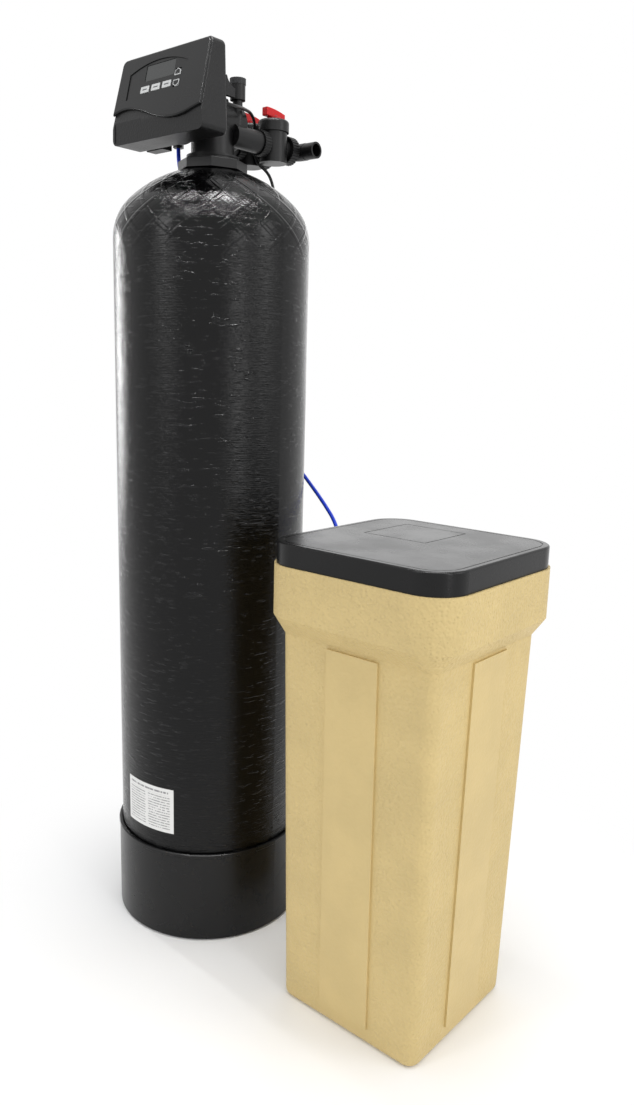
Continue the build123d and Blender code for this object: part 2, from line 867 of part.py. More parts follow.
def gear(plane, teeth, lead_angle, start, end):
    """Spur gear with narrow teeth, one of them on the lead angle."""
    pitch = gear_module * teeth / 2
    root = pitch - root_share * gear_module
    tip = pitch + addendum_share * gear_module
    arc = full_turn * gear_module / 2
    foot = radians(arc) * tooth_share
    crest = radians(arc) * tip_share
    inner = root - gear_module / 2
    with BuildPart() as body:
        with BuildSketch(plane.offset(start)):
            Circle(root)
            with PolarLocations(0, teeth, start_angle=lead_angle):
                Polygon((inner, -foot), (tip, -crest), (tip, crest), (inner, foot), align=None)
        extrude(amount=end - start)
    return body.part


# Gear train in two layers, between the housing's rear wall and the bracket
main_pitch = gear_module * main_teeth / 2
small_pitch = gear_module * small_teeth / 2
large_pitch = gear_module * large_teeth / 2
layer_one = barrel_front + cap_boss_height + slide_gap
layer_one_end = layer_one + gear_width
layer_two = layer_one_end + gear_layer_gap
layer_two_end = layer_two + gear_width
bracket_back = layer_two_end + gear_layer_gap
bracket_face = bracket_back + bracket_thickness
reduction_x = (main_pitch + small_pitch) * cos(radians(reduction_angle))
reduction_z = barrel_z + (main_pitch + small_pitch) * sin(radians(reduction_angle))
motor_x = reduction_x + (large_pitch + small_pitch) * cos(radians(motor_angle))
motor_z = reduction_z + (large_pitch + small_pitch) * sin(radians(motor_angle))
half_tooth = full_turn / small_teeth / 2
spindle_tip = rod_front + rod_bore_depth - overrun
main_wheel = gear(facing(0, barrel_z), main_teeth, reduction_angle, layer_one, layer_one_end)
main_spindle = bar(facing(0, barrel_z), spindle_radius, -spindle_tip, bracket_face + overrun)
main_web = bar(facing(0, barrel_z), main_pitch - gear_width, layer_one + gear_width * 2 / 3,
               layer_one_end, cap_boss_radius)
with BuildPart() as main_gear:
    add(main_wheel)
    add(main_web, mode=Mode.SUBTRACT)
    add(main_spindle)

# Reduction gear, motor pinion, motor and the bracket that carries them
reduction_plane = facing(reduction_x, reduction_z)
motor_plane = facing(motor_x, motor_z)
axle_hole = gear_axle_radius + running_gap
reduction_small = gear(reduction_plane, small_teeth, reduction_angle + half_tooth, layer_one,
                       layer_two)
reduction_large = gear(reduction_plane, large_teeth, motor_angle, layer_two, layer_two_end)
reduction_hole = bar(reduction_plane, axle_hole, layer_one, layer_two_end)
with BuildPart() as reduction_gear:
    add(reduction_small)
    add(reduction_large)
    add(reduction_hole, mode=Mode.SUBTRACT)
pinion_wheel = gear(motor_plane, small_teeth, motor_angle + half_tooth, layer_two, layer_two_end)
pinion_hole = bar(motor_plane, motor_shaft_radius + running_gap, layer_two, layer_two_end)
with BuildPart() as motor_pinion:
    add(pinion_wheel)
    add(pinion_hole, mode=Mode.SUBTRACT)
motor_can = bar(motor_plane, motor_radius, bracket_face, bracket_face + motor_length)
motor_boss = bar(motor_plane, motor_boss_radius, bracket_back, bracket_face)
motor_shaft = bar(motor_plane, motor_shaft_radius, layer_two, bracket_face)
with BuildPart() as drive_motor:
    add(motor_can)
    chamfer(drive_motor.edges().filter_by(GeomType.CIRCLE).sort_by(Axis.Y)[0], handle_edge)
    add(motor_boss)
    add(motor_shaft)

bracket_low_z = head_bottom_z + bracket_bottom
bracket_high_z = head_bottom_z + bracket_top
bracket_mid = facing(0, (bracket_low_z + bracket_high_z) / 2)
leg_x = bracket_half_width - bracket_leg / 2
leg_spots = [(side * leg_x, level) for side in (-1, 1)
             for level in (bracket_low_z + bracket_leg / 2, bracket_high_z - bracket_leg / 2)]
bracket_plate = slab(bracket_mid, bracket_half_width * 2, bracket_high_z - bracket_low_z,
                     bracket_back, bracket_face)
bracket_legs = [slab(facing(x, z), bracket_leg, bracket_leg, wall_front, bracket_back)
                for x, z in leg_spots]
bracket_axle = bar(reduction_plane, gear_axle_radius, wall_front + slide_gap, bracket_back)
bracket_bearing = bar(facing(0, barrel_z), spindle_radius + running_gap, bracket_back, bracket_face)
bracket_port = bar(motor_plane, motor_boss_radius + fit_gap, bracket_back, bracket_face)


def slope_y(z, depth):
    """Y of the plane at a depth behind the cover's front, at a height."""
    return (z - fold_z) * tan(cover_tilt) - fold_reach + depth / cos(cover_tilt)


def slope_z(y, depth):
    """Height of the plane at a depth behind the cover's front, at a Y."""
    return fold_z + (y + fold_reach - depth / cos(cover_tilt)) / tan(cover_tilt)


def on_slope(rise, depth):
    """Y and Z of a point up the cover's slope and behind its front."""
    return (rise * sin(cover_tilt) - fold_reach + depth * cos(cover_tilt),
            fold_z + rise * cos(cover_tilt) - depth * sin(cover_tilt))


rib_low_z = on_slope(board_low, board_back)[1]
with BuildPart() as drive_bracket:
    add(bracket_plate)
    add(bracket_legs)
    add(bracket_axle)
    for side in (-1, 1):
        with BuildSketch(Plane.YZ.offset(side * rib_offset - rib_thickness / 2)):
            Polygon((-bracket_face, rib_low_z), (slope_y(rib_low_z, board_back), rib_low_z),
                    (slope_y(bracket_high_z, board_back), bracket_high_z),
                    (-bracket_face, bracket_high_z), align=None)
        extrude(amount=rib_thickness)
    add(bracket_bearing, mode=Mode.SUBTRACT)
    add(bracket_port, mode=Mode.SUBTRACT)

# Plane of the cover's front face: X across and its second direction up the slope
cover_plane = Plane(origin=(0, -fold_reach, fold_z), x_dir=(1, 0, 0),
                    z_dir=(0, -cos(cover_tilt), sin(cover_tilt)))
key_spots = [(x, key_rise) for x in key_centres]
arrow_spots = [(arrow_centre, arrow_up_rise, 1), (arrow_centre, arrow_down_rise, -1)]
window_x = (window_left + window_right) / 2
window_y = (window_low + window_high) / 2
window_width = window_right - window_left
window_height = window_high - window_low

# Circuit board with the display and a switch behind each key
with BuildPart() as circuit_board:
    with BuildSketch(cover_plane.offset(-board_face)):
        with Locations(((board_left + board_right) / 2, (board_low + board_high) / 2)):
            Rectangle(board_right - board_left, board_high - board_low)
    extrude(amount=-board_thickness)
    with BuildSketch(cover_plane.offset(-board_face)):
        with Locations((window_x, window_y)):
            Rectangle(window_width + display_margin * 2, window_height + display_margin * 2)
    extrude(amount=display_depth)
    with BuildSketch(cover_plane.offset(-board_face)):
        with Locations(key_spots + [(x, rise) for x, rise, way in arrow_spots]):
            Rectangle(switch_half * 2, switch_half * 2)
    extrude(amount=switch_height)


def half_at(z):
    """Half width of the power head at a height."""
    fall = (head_half_bottom - head_half_top) / head_height
    return head_half_bottom - fall * (z - head_bottom_z)


def head_block(inset, side_points):
    """Power head's outline drawn in by an inset, cut to a side profile of Y and Z points."""
    low = head_bottom_z + inset
    high = head_top_z - inset
    with BuildPart() as body:
        with BuildSketch(Plane.XZ) as outline:
            Polygon((inset - half_at(low), low), (half_at(low) - inset, low),
                    (half_at(high) - inset, high), (inset - half_at(high), high), align=None)
            fillet(outline.vertices(), head_corner - inset)
        extrude(amount=fold_reach * 2)
        with BuildSketch(Plane.YZ.offset(-head_half_bottom)):
            Polygon(*side_points, align=None)
        extrude(amount=head_half_bottom * 2, mode=Mode.INTERSECT)
    return body.part


# Housing: closed behind the cover's lower edge, open above it
inner_front = head_reach - head_wall
inner_depth = housing_face + head_wall
shelf_low = on_slope(lower_wall_top, inner_depth)
shelf_out = on_slope(lower_wall_top, -overrun)
inner_high_z = head_top_z - head_wall
outer_block = head_block(0, [(-head_reach, head_bottom_z), (-head_reach, slope_z(-head_reach, housing_face)),
                             (slope_y(head_top_z, housing_face), head_top_z),
                             (-head_back, head_top_z), (-head_back, head_bottom_z)])
inner_block = head_block(head_wall, [(-inner_front, head_bottom_z),
                                     (-inner_front, slope_z(-inner_front, inner_depth)),
                                     shelf_low, shelf_out, (slope_y(inner_high_z, -overrun), inner_high_z),
                                     (-wall_front, inner_high_z), (-wall_front, head_bottom_z)])
bulge_x = -(bulge_near + bulge_far) / 2
bulge_width = bulge_far - bulge_near
bulge_z = head_bottom_z + bulge_height / 2
bulge_shell = slab(behind(bulge_x, bulge_z), bulge_width, bulge_height, -head_back, bulge_depth - head_back)
bulge_hollow = slab(behind(bulge_x, bulge_z), bulge_width - head_wall * 2, bulge_height - head_wall * 2,
                    -wall_front, bulge_depth - head_back - head_wall)
arm_z = head_bottom_z + arm_rise
arm_low = arm_z + arm_height
arm_high = arm_low + arm_flare
arm_back = arm_reach - head_back
arm_x = half_at(arm_high) - arm_inset
gland_z = head_bottom_z + gland_rise
rear_hole = bar(facing(0, barrel_z), rear_opening, barrel_front, wall_front)
gland_hole = bar(facing(gland_x, gland_z), line_radius + fit_gap, barrel_front, wall_front)
badge_x = badge_width / 2 + badge_margin - half_at(barrel_z)
badge_z = head_bottom_z + badge_height / 2 + badge_margin
badge_recess = slab(facing(badge_x, badge_z), badge_width, badge_height, head_reach - badge_depth, head_reach)
with BuildPart() as back_housing:
    add(outer_block)
    seam_face = back_housing.faces().filter_by(cover_plane)
    chamfer(seam_face.edges(), seam_chamfer)
    fillet(back_housing.edges().filter_by(Axis.X).group_by(Axis.Y)[-1], head_rear_corner)
    add(inner_block, mode=Mode.SUBTRACT)
    add(bulge_shell)
    add(bulge_hollow, mode=Mode.SUBTRACT)
    with BuildSketch(Plane.YZ.offset(arm_x - arm_thickness)):
        with BuildLine():
            Polyline((-head_back, arm_high), (-wall_front, arm_high), (-wall_front, arm_z),
                     (arm_back, arm_z), (arm_back, arm_low))
            RadiusArc((-head_back, arm_high), (arm_back, arm_low), -arm_root)
        make_face()
    extrude(amount=arm_thickness)
    add(rear_hole, mode=Mode.SUBTRACT)
    add(gland_hole, mode=Mode.SUBTRACT)
    add(badge_recess, mode=Mode.SUBTRACT)
    with BuildSketch(facing(0, barrel_z).offset(barrel_front)):
        with PolarLocations(screw_circle, screw_count, start_angle=full_turn / screw_count / 2):
            Circle(screw_radius + fit_gap)
    extrude(amount=head_wall, mode=Mode.SUBTRACT)

# Front cover: slanted plate with a waved lower edge, a recessed fascia and a skirt
cover_low_half = half_at(fold_z)
cover_high_half = half_at(on_slope(cover_length, 0)[1])
wave_points = [(across * cover_low_half, up * wave_height) for across, up in wave_shares]
skirt_low = lower_wall_top + overrun
skirt_inset = head_wall + slide_gap


def skirt_outline(inset, top):
    """Corners of the skirt's outline on the cover's plane."""
    low_half = half_at(on_slope(skirt_low, 0)[1]) - inset
    high_half = cover_high_half - inset
    return [(-low_half, skirt_low), (low_half, skirt_low), (high_half, top), (-high_half, top)]


key_grow = fit_gap * 2
with BuildPart() as front_cover:
    with BuildSketch(cover_plane) as plate:
        with BuildLine():
            Spline(*wave_points)
            Polyline(wave_points[-1], (cover_high_half, cover_length), (-cover_high_half, cover_length),
                     wave_points[0])
        make_face()
        fillet(plate.vertices().group_by(Axis.Y)[-1], cover_corner)
    extrude(amount=-cover_thickness)
    front_face = front_cover.faces().sort_by(Axis(cover_plane.origin, cover_plane.z_dir))[-1]
    fillet(front_face.edges(), cover_edge)
    with BuildSketch(cover_plane.offset(-cover_thickness)):
        Polygon(*skirt_outline(skirt_inset, cover_length - skirt_inset), align=None)
        Polygon(*skirt_outline(skirt_inset + skirt_wall, cover_length - skirt_inset - skirt_wall),
                align=None, mode=Mode.SUBTRACT)
        with Locations((0, skirt_low)):
            Rectangle(cover_low_half * 2 - skirt_inset * 2 - skirt_wall * 2 - overrun * 2, skirt_wall * 2,
                      mode=Mode.SUBTRACT)
    extrude(amount=-skirt_depth)
    with BuildSketch(cover_plane):
        with BuildLine():
            Polyline((fascia_left, fascia_low), (fascia_left, fascia_shoulder))
            ThreePointArc((fascia_left, fascia_shoulder), ((fascia_left + fascia_right) / 2, fascia_top),
                          (fascia_right, fascia_shoulder))
            Line((fascia_right, fascia_shoulder), (fascia_right, fascia_low))
            Spline((fascia_right, fascia_low), (fascia_right / 2, fascia_dip + overrun),
                   (-cover_corner, fascia_dip), (fascia_left / 2, fascia_low - overrun),
                   (fascia_left, fascia_low))
        make_face()
    extrude(amount=-fascia_depth, mode=Mode.SUBTRACT)
    with BuildSketch(cover_plane):
        with Locations((window_x, window_y)):
            Rectangle(window_width, window_height)
    extrude(amount=-(fascia_depth + lens_inset + lens_thickness), mode=Mode.SUBTRACT)
    with BuildSketch(cover_plane):
        with Locations((window_x, window_y)):
            Rectangle(window_width - window_ledge * 2, window_height - window_ledge * 2)
        with Locations(key_spots):
            Rectangle(key_width + key_grow, key_height + key_grow)
        with Locations([(x, rise) for x, rise, way in arrow_spots]):
            Rectangle(arrow_width + key_grow, arrow_height + key_grow)
    extrude(amount=-cover_thickness, mode=Mode.SUBTRACT)

# Lens in the window
with BuildPart() as display_lens:
    with BuildSketch(cover_plane.offset(-(fascia_depth + lens_inset))):
        with Locations((window_x, window_y)):
            Rectangle(window_width - key_grow, window_height - key_grow)
    extrude(amount=-lens_thickness)

# Keys: a cap in the fascia, a flange behind it and a stem towards the switch
key_front = fascia_depth - key_proud
flange_face = cover_thickness + fit_gap
stem_end = board_face - switch_height - key_travel - fit_gap
arrow_shoulder = arrow_height * (1 / 2 - arrow_point_share)


def key(x, rise, outline):
    """Key of an outline at a spot on the cover's plane."""
    width = max(across for across, up in outline) * 2
    with BuildPart() as body:
        with BuildSketch(cover_plane.offset(-key_front)):
            with Locations((x, rise)):
                Polygon(*outline, align=None)
        extrude(amount=key_front - flange_face)
        with BuildSketch(cover_plane.offset(-flange_face)):
            with Locations((x, rise)):
                Rectangle(width + key_flange * 2, key_height + key_flange * 2)
        extrude(amount=-key_flange_thickness)
        with BuildSketch(cover_plane.offset(-flange_face)):
            with Locations((x, rise)):
                Circle(key_stem_radius)
        extrude(amount=flange_face - stem_end)
    return body.part


key_outline = [(-key_width / 2, -key_height / 2), (key_width / 2, -key_height / 2),
               (key_width / 2, key_height / 2), (-key_width / 2, key_height / 2)]
up_outline = [(-arrow_width / 2, -arrow_height / 2), (arrow_width / 2, -arrow_height / 2),
              (arrow_width / 2, arrow_shoulder), (0, arrow_height / 2), (-arrow_width / 2, arrow_shoulder)]
down_outline = [(across, -up) for across, up in reversed(up_outline)]
key_parts = [key(x, rise, key_outline) for x, rise in key_spots]
up_part = key(arrow_centre, arrow_up_rise, up_outline)
down_part = key(arrow_centre, arrow_down_rise, down_outline)
with BuildPart() as button_left:
    add(key_parts[0])
with BuildPart() as button_middle:
    add(key_parts[1])
with BuildPart() as button_right:
    add(key_parts[2])
with BuildPart() as button_up:
    add(up_part)
with BuildPart() as button_down:
    add(down_part)

# Screws through the housing's rear wall into the barrel flange
screw_plane = facing(0, barrel_z)
with BuildPart() as housing_screws:
    with BuildSketch(screw_plane.offset(wall_front - screw_length)):
        with PolarLocations(screw_circle, screw_count, start_angle=full_turn / screw_count / 2):
            Circle(screw_radius)
    extrude(amount=screw_length)
    with BuildSketch(screw_plane.offset(wall_front)):
        with PolarLocations(screw_circle, screw_count, start_angle=full_turn / screw_count / 2):
            Circle(screw_head_radius)
    extrude(amount=screw_head_height)

# Injector and its ribbed cap
injector_top_z = tower_top_z - fit_gap
injector_bar = bar(tower_spot, injector_radius, tower_bore_z + injector_tip_length, injector_top_z)
injector_tip = bar(tower_spot, injector_tip_radius, tower_bore_z, injector_top_z)
injector_duct = bar(tower_spot, motor_shaft_radius, tower_bore_z, injector_top_z)
with BuildPart() as injector:
    add(injector_bar)
    add(injector_tip)
    add(injector_duct, mode=Mode.SUBTRACT)
cap_knob = ribbed(tower_spot, injector_cap_radius, tower_top_z, tower_top_z + injector_cap_height,
                  cap_rib_count, cap_rib_depth)
with BuildPart() as injector_cap:
    add(cap_knob)

# Drain and brine elbows and the nut on the brine line
drain_top_z = drain_tower_z + drain_rise
drain_tube = elbow([(-port_x, tower_y, drain_tower_z), (-port_x, tower_y, drain_top_z),
                    (-port_x - drain_reach, tower_y, drain_top_z)], drain_bend, drain_radius, drain_bore)
barb_x = -port_x - drain_reach
barb_rings = [bar(sideways(tower_y, drain_top_z), drain_radius + drain_barb,
                  barb_x + drain_barb_pitch * (index + 1 / 2),
                  barb_x + drain_barb_pitch * (index + 1), drain_bore) for index in range(3)]
with BuildPart() as drain_elbow:
    add(drain_tube)
    add(barb_rings)
brine_drop_z = barrel_z - brine_drop
brine_tube = elbow([(-brine_boss_reach, brine_port_y, barrel_z), (-brine_outlet_x, brine_port_y, barrel_z),
                    (-brine_outlet_x, brine_port_y, brine_drop_z)], brine_bend, brine_elbow_radius,
                   brine_elbow_bore)
with BuildPart() as brine_elbow:
    add(brine_tube)
brine_nut_z = brine_drop_z - brine_nut_height
nut_spot = upright(-brine_outlet_x, brine_port_y)
with BuildPart() as brine_nut:
    with BuildSketch(nut_spot.offset(brine_nut_z)):
        RegularPolygon(radius=brine_nut_radius, side_count=6)
        Circle(fitting_bore, mode=Mode.SUBTRACT)
    extrude(amount=brine_nut_height)

# Meter wheel with leaning blades in the near port
wheel_front = wheel_y - wheel_width / 2
wheel_back = wheel_y + wheel_width / 2
wheel_plane = behind(port_x, port_z)
wheel_hub = bar(wheel_plane, wheel_hub_radius, wheel_front, wheel_back)
wheel_shaft = bar(wheel_plane, wheel_shaft_radius, wheel_back, spider_end)
wheel_limit = bar(wheel_plane, wheel_radius, wheel_front, wheel_back)


def blade(turn):
    """Leaning blade that reaches out from the wheel's axis."""
    out = (cos(radians(turn)), 0, sin(radians(turn)))
    with BuildPart() as body:
        with BuildSketch(Plane(origin=(port_x, 0, port_z), x_dir=(0, 1, 0), z_dir=out)):
            Polygon((wheel_front, -wheel_blade / 2 - wheel_lean), (wheel_front, wheel_blade / 2 - wheel_lean),
                    (wheel_back, wheel_blade / 2 + wheel_lean), (wheel_back, -wheel_blade / 2 + wheel_lean),
                    align=None)
        extrude(amount=wheel_radius)
        add(wheel_limit, mode=Mode.INTERSECT)
    return body.part


wheel_blades = [blade(full_turn * index / wheel_blade_count) for index in range(wheel_blade_count)]
with BuildPart() as meter_turbine:
    add(wheel_hub)
    add(wheel_blades)
    add(wheel_shaft)

# Bypass: two rotor housings, a cross pipe, spigots into the valve and outlets behind
sides = (-1, 1)
outlet_end = bypass_y + outlet_reach
collar_end = port_end + spigot_collar_length
elbow_collar_end = outlet_end + spigot_collar_length
seal_ring_radius = port_bore - running_gap - seal_wire
seal_root = seal_ring_radius - seal_wire - running_gap
seal_half = seal_wire + running_gap
bypass_cans = [bar(upright(side * port_x, bypass_y), housing_radius, housing_base_z, housing_top_z)
               for side in sides]
bypass_cross = bar(sideways(bypass_y, port_z), cross_radius, -port_x, port_x)
bypass_spigots = [bar(behind(side * port_x, port_z), spigot_radius, spigot_end, bypass_y) for side in sides]
bypass_collars = [bar(behind(side * port_x, port_z), spigot_collar, port_end, collar_end) for side in sides]
bypass_outlets = [bar(behind(side * port_x, port_z), thread_radius, bypass_y, outlet_end) for side in sides]
bypass_wells = [bar(upright(side * port_x, bypass_y), housing_bore, housing_base_z + housing_floor,
                    housing_top_z) for side in sides]
bypass_duct = bar(sideways(bypass_y, port_z), rotor_passage, -port_x, port_x)
bypass_bores = [bar(behind(side * port_x, port_z), spigot_bore, spigot_end, outlet_end) for side in sides]
seal_grooves = [bar(behind(side * port_x, port_z), spigot_radius + overrun, spot - seal_half,
                    spot + seal_half, seal_root) for side in sides for spot in seal_spots]
with BuildPart() as bypass_body:
    add(bypass_cans)
    add(bypass_cross)
    add(bypass_spigots)
    add(bypass_collars)
    add(bypass_outlets)
    add(bypass_wells, mode=Mode.SUBTRACT)
    add(bypass_duct, mode=Mode.SUBTRACT)
    add(bypass_bores, mode=Mode.SUBTRACT)
    add(seal_grooves, mode=Mode.SUBTRACT)
seal_tori = [torus_at(behind(side * port_x, port_z), spot, seal_ring_radius, seal_wire)
             for side in sides for spot in seal_spots]
with BuildPart() as bypass_seals:
    add(seal_tori)


def union_nut(x, radius, start, end, step, hole):
    """Ribbed union nut: a wide bore up to a step, then a lip with a narrower hole."""
    shell = ribbed(behind(x, port_z), radius, start, end, nut_rib_count, nut_rib_depth)
    wide = bar(behind(x, port_z), thread_radius + fit_gap, start, step)
    lip = bar(behind(x, port_z), hole, step, end)
    with BuildPart() as body:
        add(shell)
        add(wide, mode=Mode.SUBTRACT)
        add(lip, mode=Mode.SUBTRACT)
    return body.part


front_nuts = [union_nut(side * port_x, nut_radius, nut_start, nut_end, collar_end, spigot_radius + fit_gap)
              for side in sides]
rear_nuts = [union_nut(side * port_x, elbow_nut_radius, elbow_nut_start, elbow_nut_end, elbow_collar_end,
                       elbow_radius + fit_gap) for side in sides]
with BuildPart() as bypass_nuts:
    add(front_nuts)
with BuildPart() as elbow_nuts:
    add(rear_nuts)
elbow_tubes = [elbow([(side * port_x, outlet_end, port_z), (side * port_x, elbow_y, port_z),
                      (side * elbow_stub_x, elbow_y, port_z)], elbow_bend, elbow_radius, elbow_bore)
               for side in sides]
elbow_stubs = [bar(sideways(elbow_y, port_z), elbow_stub_radius, side * elbow_stub_x,
                   side * elbow_end_x, elbow_bore) for side in sides]
elbow_collars = [bar(behind(side * port_x, port_z), spigot_collar, outlet_end, elbow_collar_end, elbow_bore)
                 for side in sides]
with BuildPart() as pipe_elbows:
    add(elbow_tubes)
    add(elbow_stubs)
    add(elbow_collars)


def rotor(x):
    """Bypass rotor with crossing passages and a stem for its handle."""
    rotor_radius = housing_bore - running_gap
    rotor_base_z = housing_base_z + housing_floor + fit_gap
    drum = bar(upright(x, bypass_y), rotor_radius, rotor_base_z, housing_top_z - fit_gap)
    along = bar(behind(x, port_z), rotor_passage, bypass_y - rotor_radius, bypass_y + rotor_radius)
    across = bar(sideways(bypass_y, port_z), rotor_passage, x - rotor_radius, x)
    if x < 0:
        across = bar(sideways(bypass_y, port_z), rotor_passage, x, x + rotor_radius)
    stem = bar(upright(x, bypass_y), rotor_stem_radius, housing_top_z - fit_gap,
               rotor_cap_top_z + rotor_stem_rise)
    with BuildPart() as body:
        add(drum)
        add(along, mode=Mode.SUBTRACT)
        add(across, mode=Mode.SUBTRACT)
        add(stem)
    return body.part


near_rotor = rotor(port_x)
far_rotor = rotor(-port_x)
with BuildPart() as rotor_near:
    add(near_rotor)
with BuildPart() as rotor_far:
    add(far_rotor)


def rotor_cover(x):
    """Cap over a rotor housing with a rounded shoulder."""
    base_z = housing_top_z - rotor_cap_skirt
    shell = bar(upright(x, bypass_y), rotor_cap_radius, base_z, rotor_cap_top_z)
    hollow = bar(upright(x, bypass_y), housing_radius + fit_gap, base_z, housing_top_z)
    hole = bar(upright(x, bypass_y), rotor_stem_radius + running_gap, base_z, rotor_cap_top_z)
    with BuildPart() as body:
        add(shell)
        fillet(body.edges().filter_by(GeomType.CIRCLE).sort_by(Axis.Z)[-1], rotor_cap_edge)
        add(hollow, mode=Mode.SUBTRACT)
        add(hole, mode=Mode.SUBTRACT)
    return body.part


cover_parts = [rotor_cover(side * port_x) for side in sides]
with BuildPart() as rotor_caps:
    add(cover_parts)

handle_base_z = rotor_cap_top_z + fit_gap
blade_z = rotor_cap_top_z + handle_hub_height
socket_top_z = rotor_cap_top_z + rotor_stem_rise + fit_gap


def handle(x):
    """Lever handle: a hub under an arched blade that lies along Y."""
    front = bypass_y - handle_length / 2
    back = bypass_y + handle_length / 2
    hub = bar(upright(x, bypass_y), handle_hub_radius, handle_base_z, blade_z + handle_edge)
    socket = bar(upright(x, bypass_y), rotor_stem_radius + running_gap, handle_base_z, socket_top_z)
    with BuildPart() as body:
        with BuildSketch(Plane.YZ.offset(x - handle_thickness / 2)):
            with BuildLine():
                Polyline((front, blade_z + handle_high), (front, blade_z), (back, blade_z),
                         (back, blade_z + handle_low))
                ThreePointArc((front, blade_z + handle_high),
                              (bypass_y, blade_z + (handle_high + handle_low) / 2 + handle_arch),
                              (back, blade_z + handle_low))
            make_face()
        extrude(amount=handle_thickness)
        fillet(body.edges(), handle_edge)
        add(hub)
        add(socket, mode=Mode.SUBTRACT)
    return body.part


near_handle = handle(port_x)
far_handle = handle(-port_x)
with BuildPart() as handle_near:
    add(near_handle)
with BuildPart() as handle_far:
    add(far_handle)

# Gland where the power lead leaves the housing
gland_body = bar(behind(gland_x, gland_z), gland_radius, -head_back, gland_length - head_back)
gland_neck = bar(behind(gland_x, gland_z), line_radius, -wall_front, -head_back)
with BuildPart() as lead_gland:
    add(gland_body)
    add(gland_neck)


def tub(half_grow, low, high):
    """Tapered lower part of the brine tank between two levels, grown sideways."""
    rise = (brine_top_half - brine_foot_half) / collar_start_z
    with BuildPart() as body:
        for level in (low, high):
            with BuildSketch(Plane(origin=(brine_x, brine_y, level))):
                half = brine_foot_half + rise * level + half_grow
                RectangleRounded(half * 2, half * 2, brine_foot_corner + half_grow)
        loft()
    return body.part


def shoulder(half_grow, low, high):
    """Sloped part of the brine tank from the taper out to the collar."""
    with BuildPart() as body:
        with BuildSketch(Plane(origin=(brine_x, brine_y, low))):
            half = brine_top_half + half_grow
            RectangleRounded(half * 2, half * 2, brine_foot_corner + half_grow)
        with BuildSketch(Plane(origin=(brine_x, brine_y, high))):
            half = collar_half + half_grow
            RectangleRounded(half * 2, half * 2, collar_corner + half_grow)
        loft()
    return body.part


def ring_block(half, corner, low, high):
    """Rounded square block about the brine tank's axis."""
    with BuildPart() as body:
        with BuildSketch(Plane(origin=(brine_x, brine_y, low))):
            RectangleRounded(half * 2, half * 2, corner)
        extrude(amount=high - low)
    return body.part


# Brine tank
neck_top_z = collar_rim_z + brine_neck_height
neck_corner = collar_corner - brine_neck_inset
tub_outer = tub(0, 0, collar_start_z)
tub_inner = tub(-brine_wall, brine_wall, collar_start_z)
tub_panels = tub(panel_proud, panel_base_z, collar_start_z - panel_edge * 2)
panel_across = slab(upright(brine_x, brine_y), panel_half_width * 2, collar_half * 2, 0, collar_start_z)
panel_along = slab(upright(brine_x, brine_y), collar_half * 2, panel_half_width * 2, 0, collar_start_z)
shoulder_outer = shoulder(0, collar_start_z, collar_full_z)
shoulder_inner = shoulder(-brine_wall, collar_start_z, collar_full_z)
collar_outer = ring_block(collar_half, collar_corner, collar_full_z, collar_rim_z)
collar_inner = ring_block(collar_half - brine_wall, collar_corner - brine_wall, collar_full_z,
                          collar_rim_z - brine_wall)
neck_outer = ring_block(brine_neck_half, neck_corner, collar_rim_z, neck_top_z)
neck_inner = ring_block(brine_neck_half - brine_wall, neck_corner - brine_wall, collar_rim_z - brine_wall,
                        neck_top_z)
collar_left_x = brine_x - collar_half
collar_rear_y = brine_y + collar_half
fitting_abs_y = brine_y + fitting_y
overflow_abs_x = brine_x + overflow_x
fitting_hole = bar(sideways(fitting_abs_y, fitting_z), fitting_pipe_radius + fit_gap, collar_left_x - overrun,
                   collar_left_x + brine_wall + overrun)
overflow_hole = bar(behind(overflow_abs_x, overflow_z), overflow_radius + fit_gap,
                    collar_rear_y - brine_wall - overrun, collar_rear_y + overrun)
with BuildPart() as panels:
    add(panel_across)
    add(panel_along)
    add(tub_panels, mode=Mode.INTERSECT)
with BuildPart() as brine_tank:
    add(tub_outer)
    fillet(brine_tank.faces().sort_by(Axis.Z)[0].edges(), brine_edge)
    add(panels.part)
    add(shoulder_outer)
    add(collar_outer)
    add(neck_outer)
    add(tub_inner, mode=Mode.SUBTRACT)
    add(shoulder_inner, mode=Mode.SUBTRACT)
    add(collar_inner, mode=Mode.SUBTRACT)
    add(neck_inner, mode=Mode.SUBTRACT)
    add(fitting_hole, mode=Mode.SUBTRACT)
    add(overflow_hole, mode=Mode.SUBTRACT)

# Lid with an edge groove and the outline of a square panel
lid_shell = ring_block(lid_half, lid_corner, collar_rim_z, lid_top_z)
lid_hollow = ring_block(lid_half - lid_wall, lid_corner - lid_wall, collar_rim_z, lid_top_z - lid_wall)
groove_half = lid_half - lid_groove_inset
groove_corner = lid_corner - lid_groove_inset
lid_plane = Plane(origin=(brine_x, brine_y, lid_top_z - lid_groove_depth))
with BuildPart() as tank_lid:
    add(lid_shell)
    fillet(tank_lid.faces().sort_by(Axis.Z)[-1].edges(), lid_edge)
    add(lid_hollow, mode=Mode.SUBTRACT)
    with BuildSketch(lid_plane):
        RectangleRounded(groove_half * 2, groove_half * 2, groove_corner)
        RectangleRounded((groove_half - lid_groove_width) * 2, (groove_half - lid_groove_width) * 2,
                         groove_corner - lid_groove_width, mode=Mode.SUBTRACT)
        with Locations((hatch_x, hatch_y)):
            Rectangle(hatch_half * 2, hatch_half * 2)
            Rectangle((hatch_half - lid_groove_width) * 2, (hatch_half - lid_groove_width) * 2,
                      mode=Mode.SUBTRACT)
    extrude(amount=lid_groove_depth, mode=Mode.SUBTRACT)

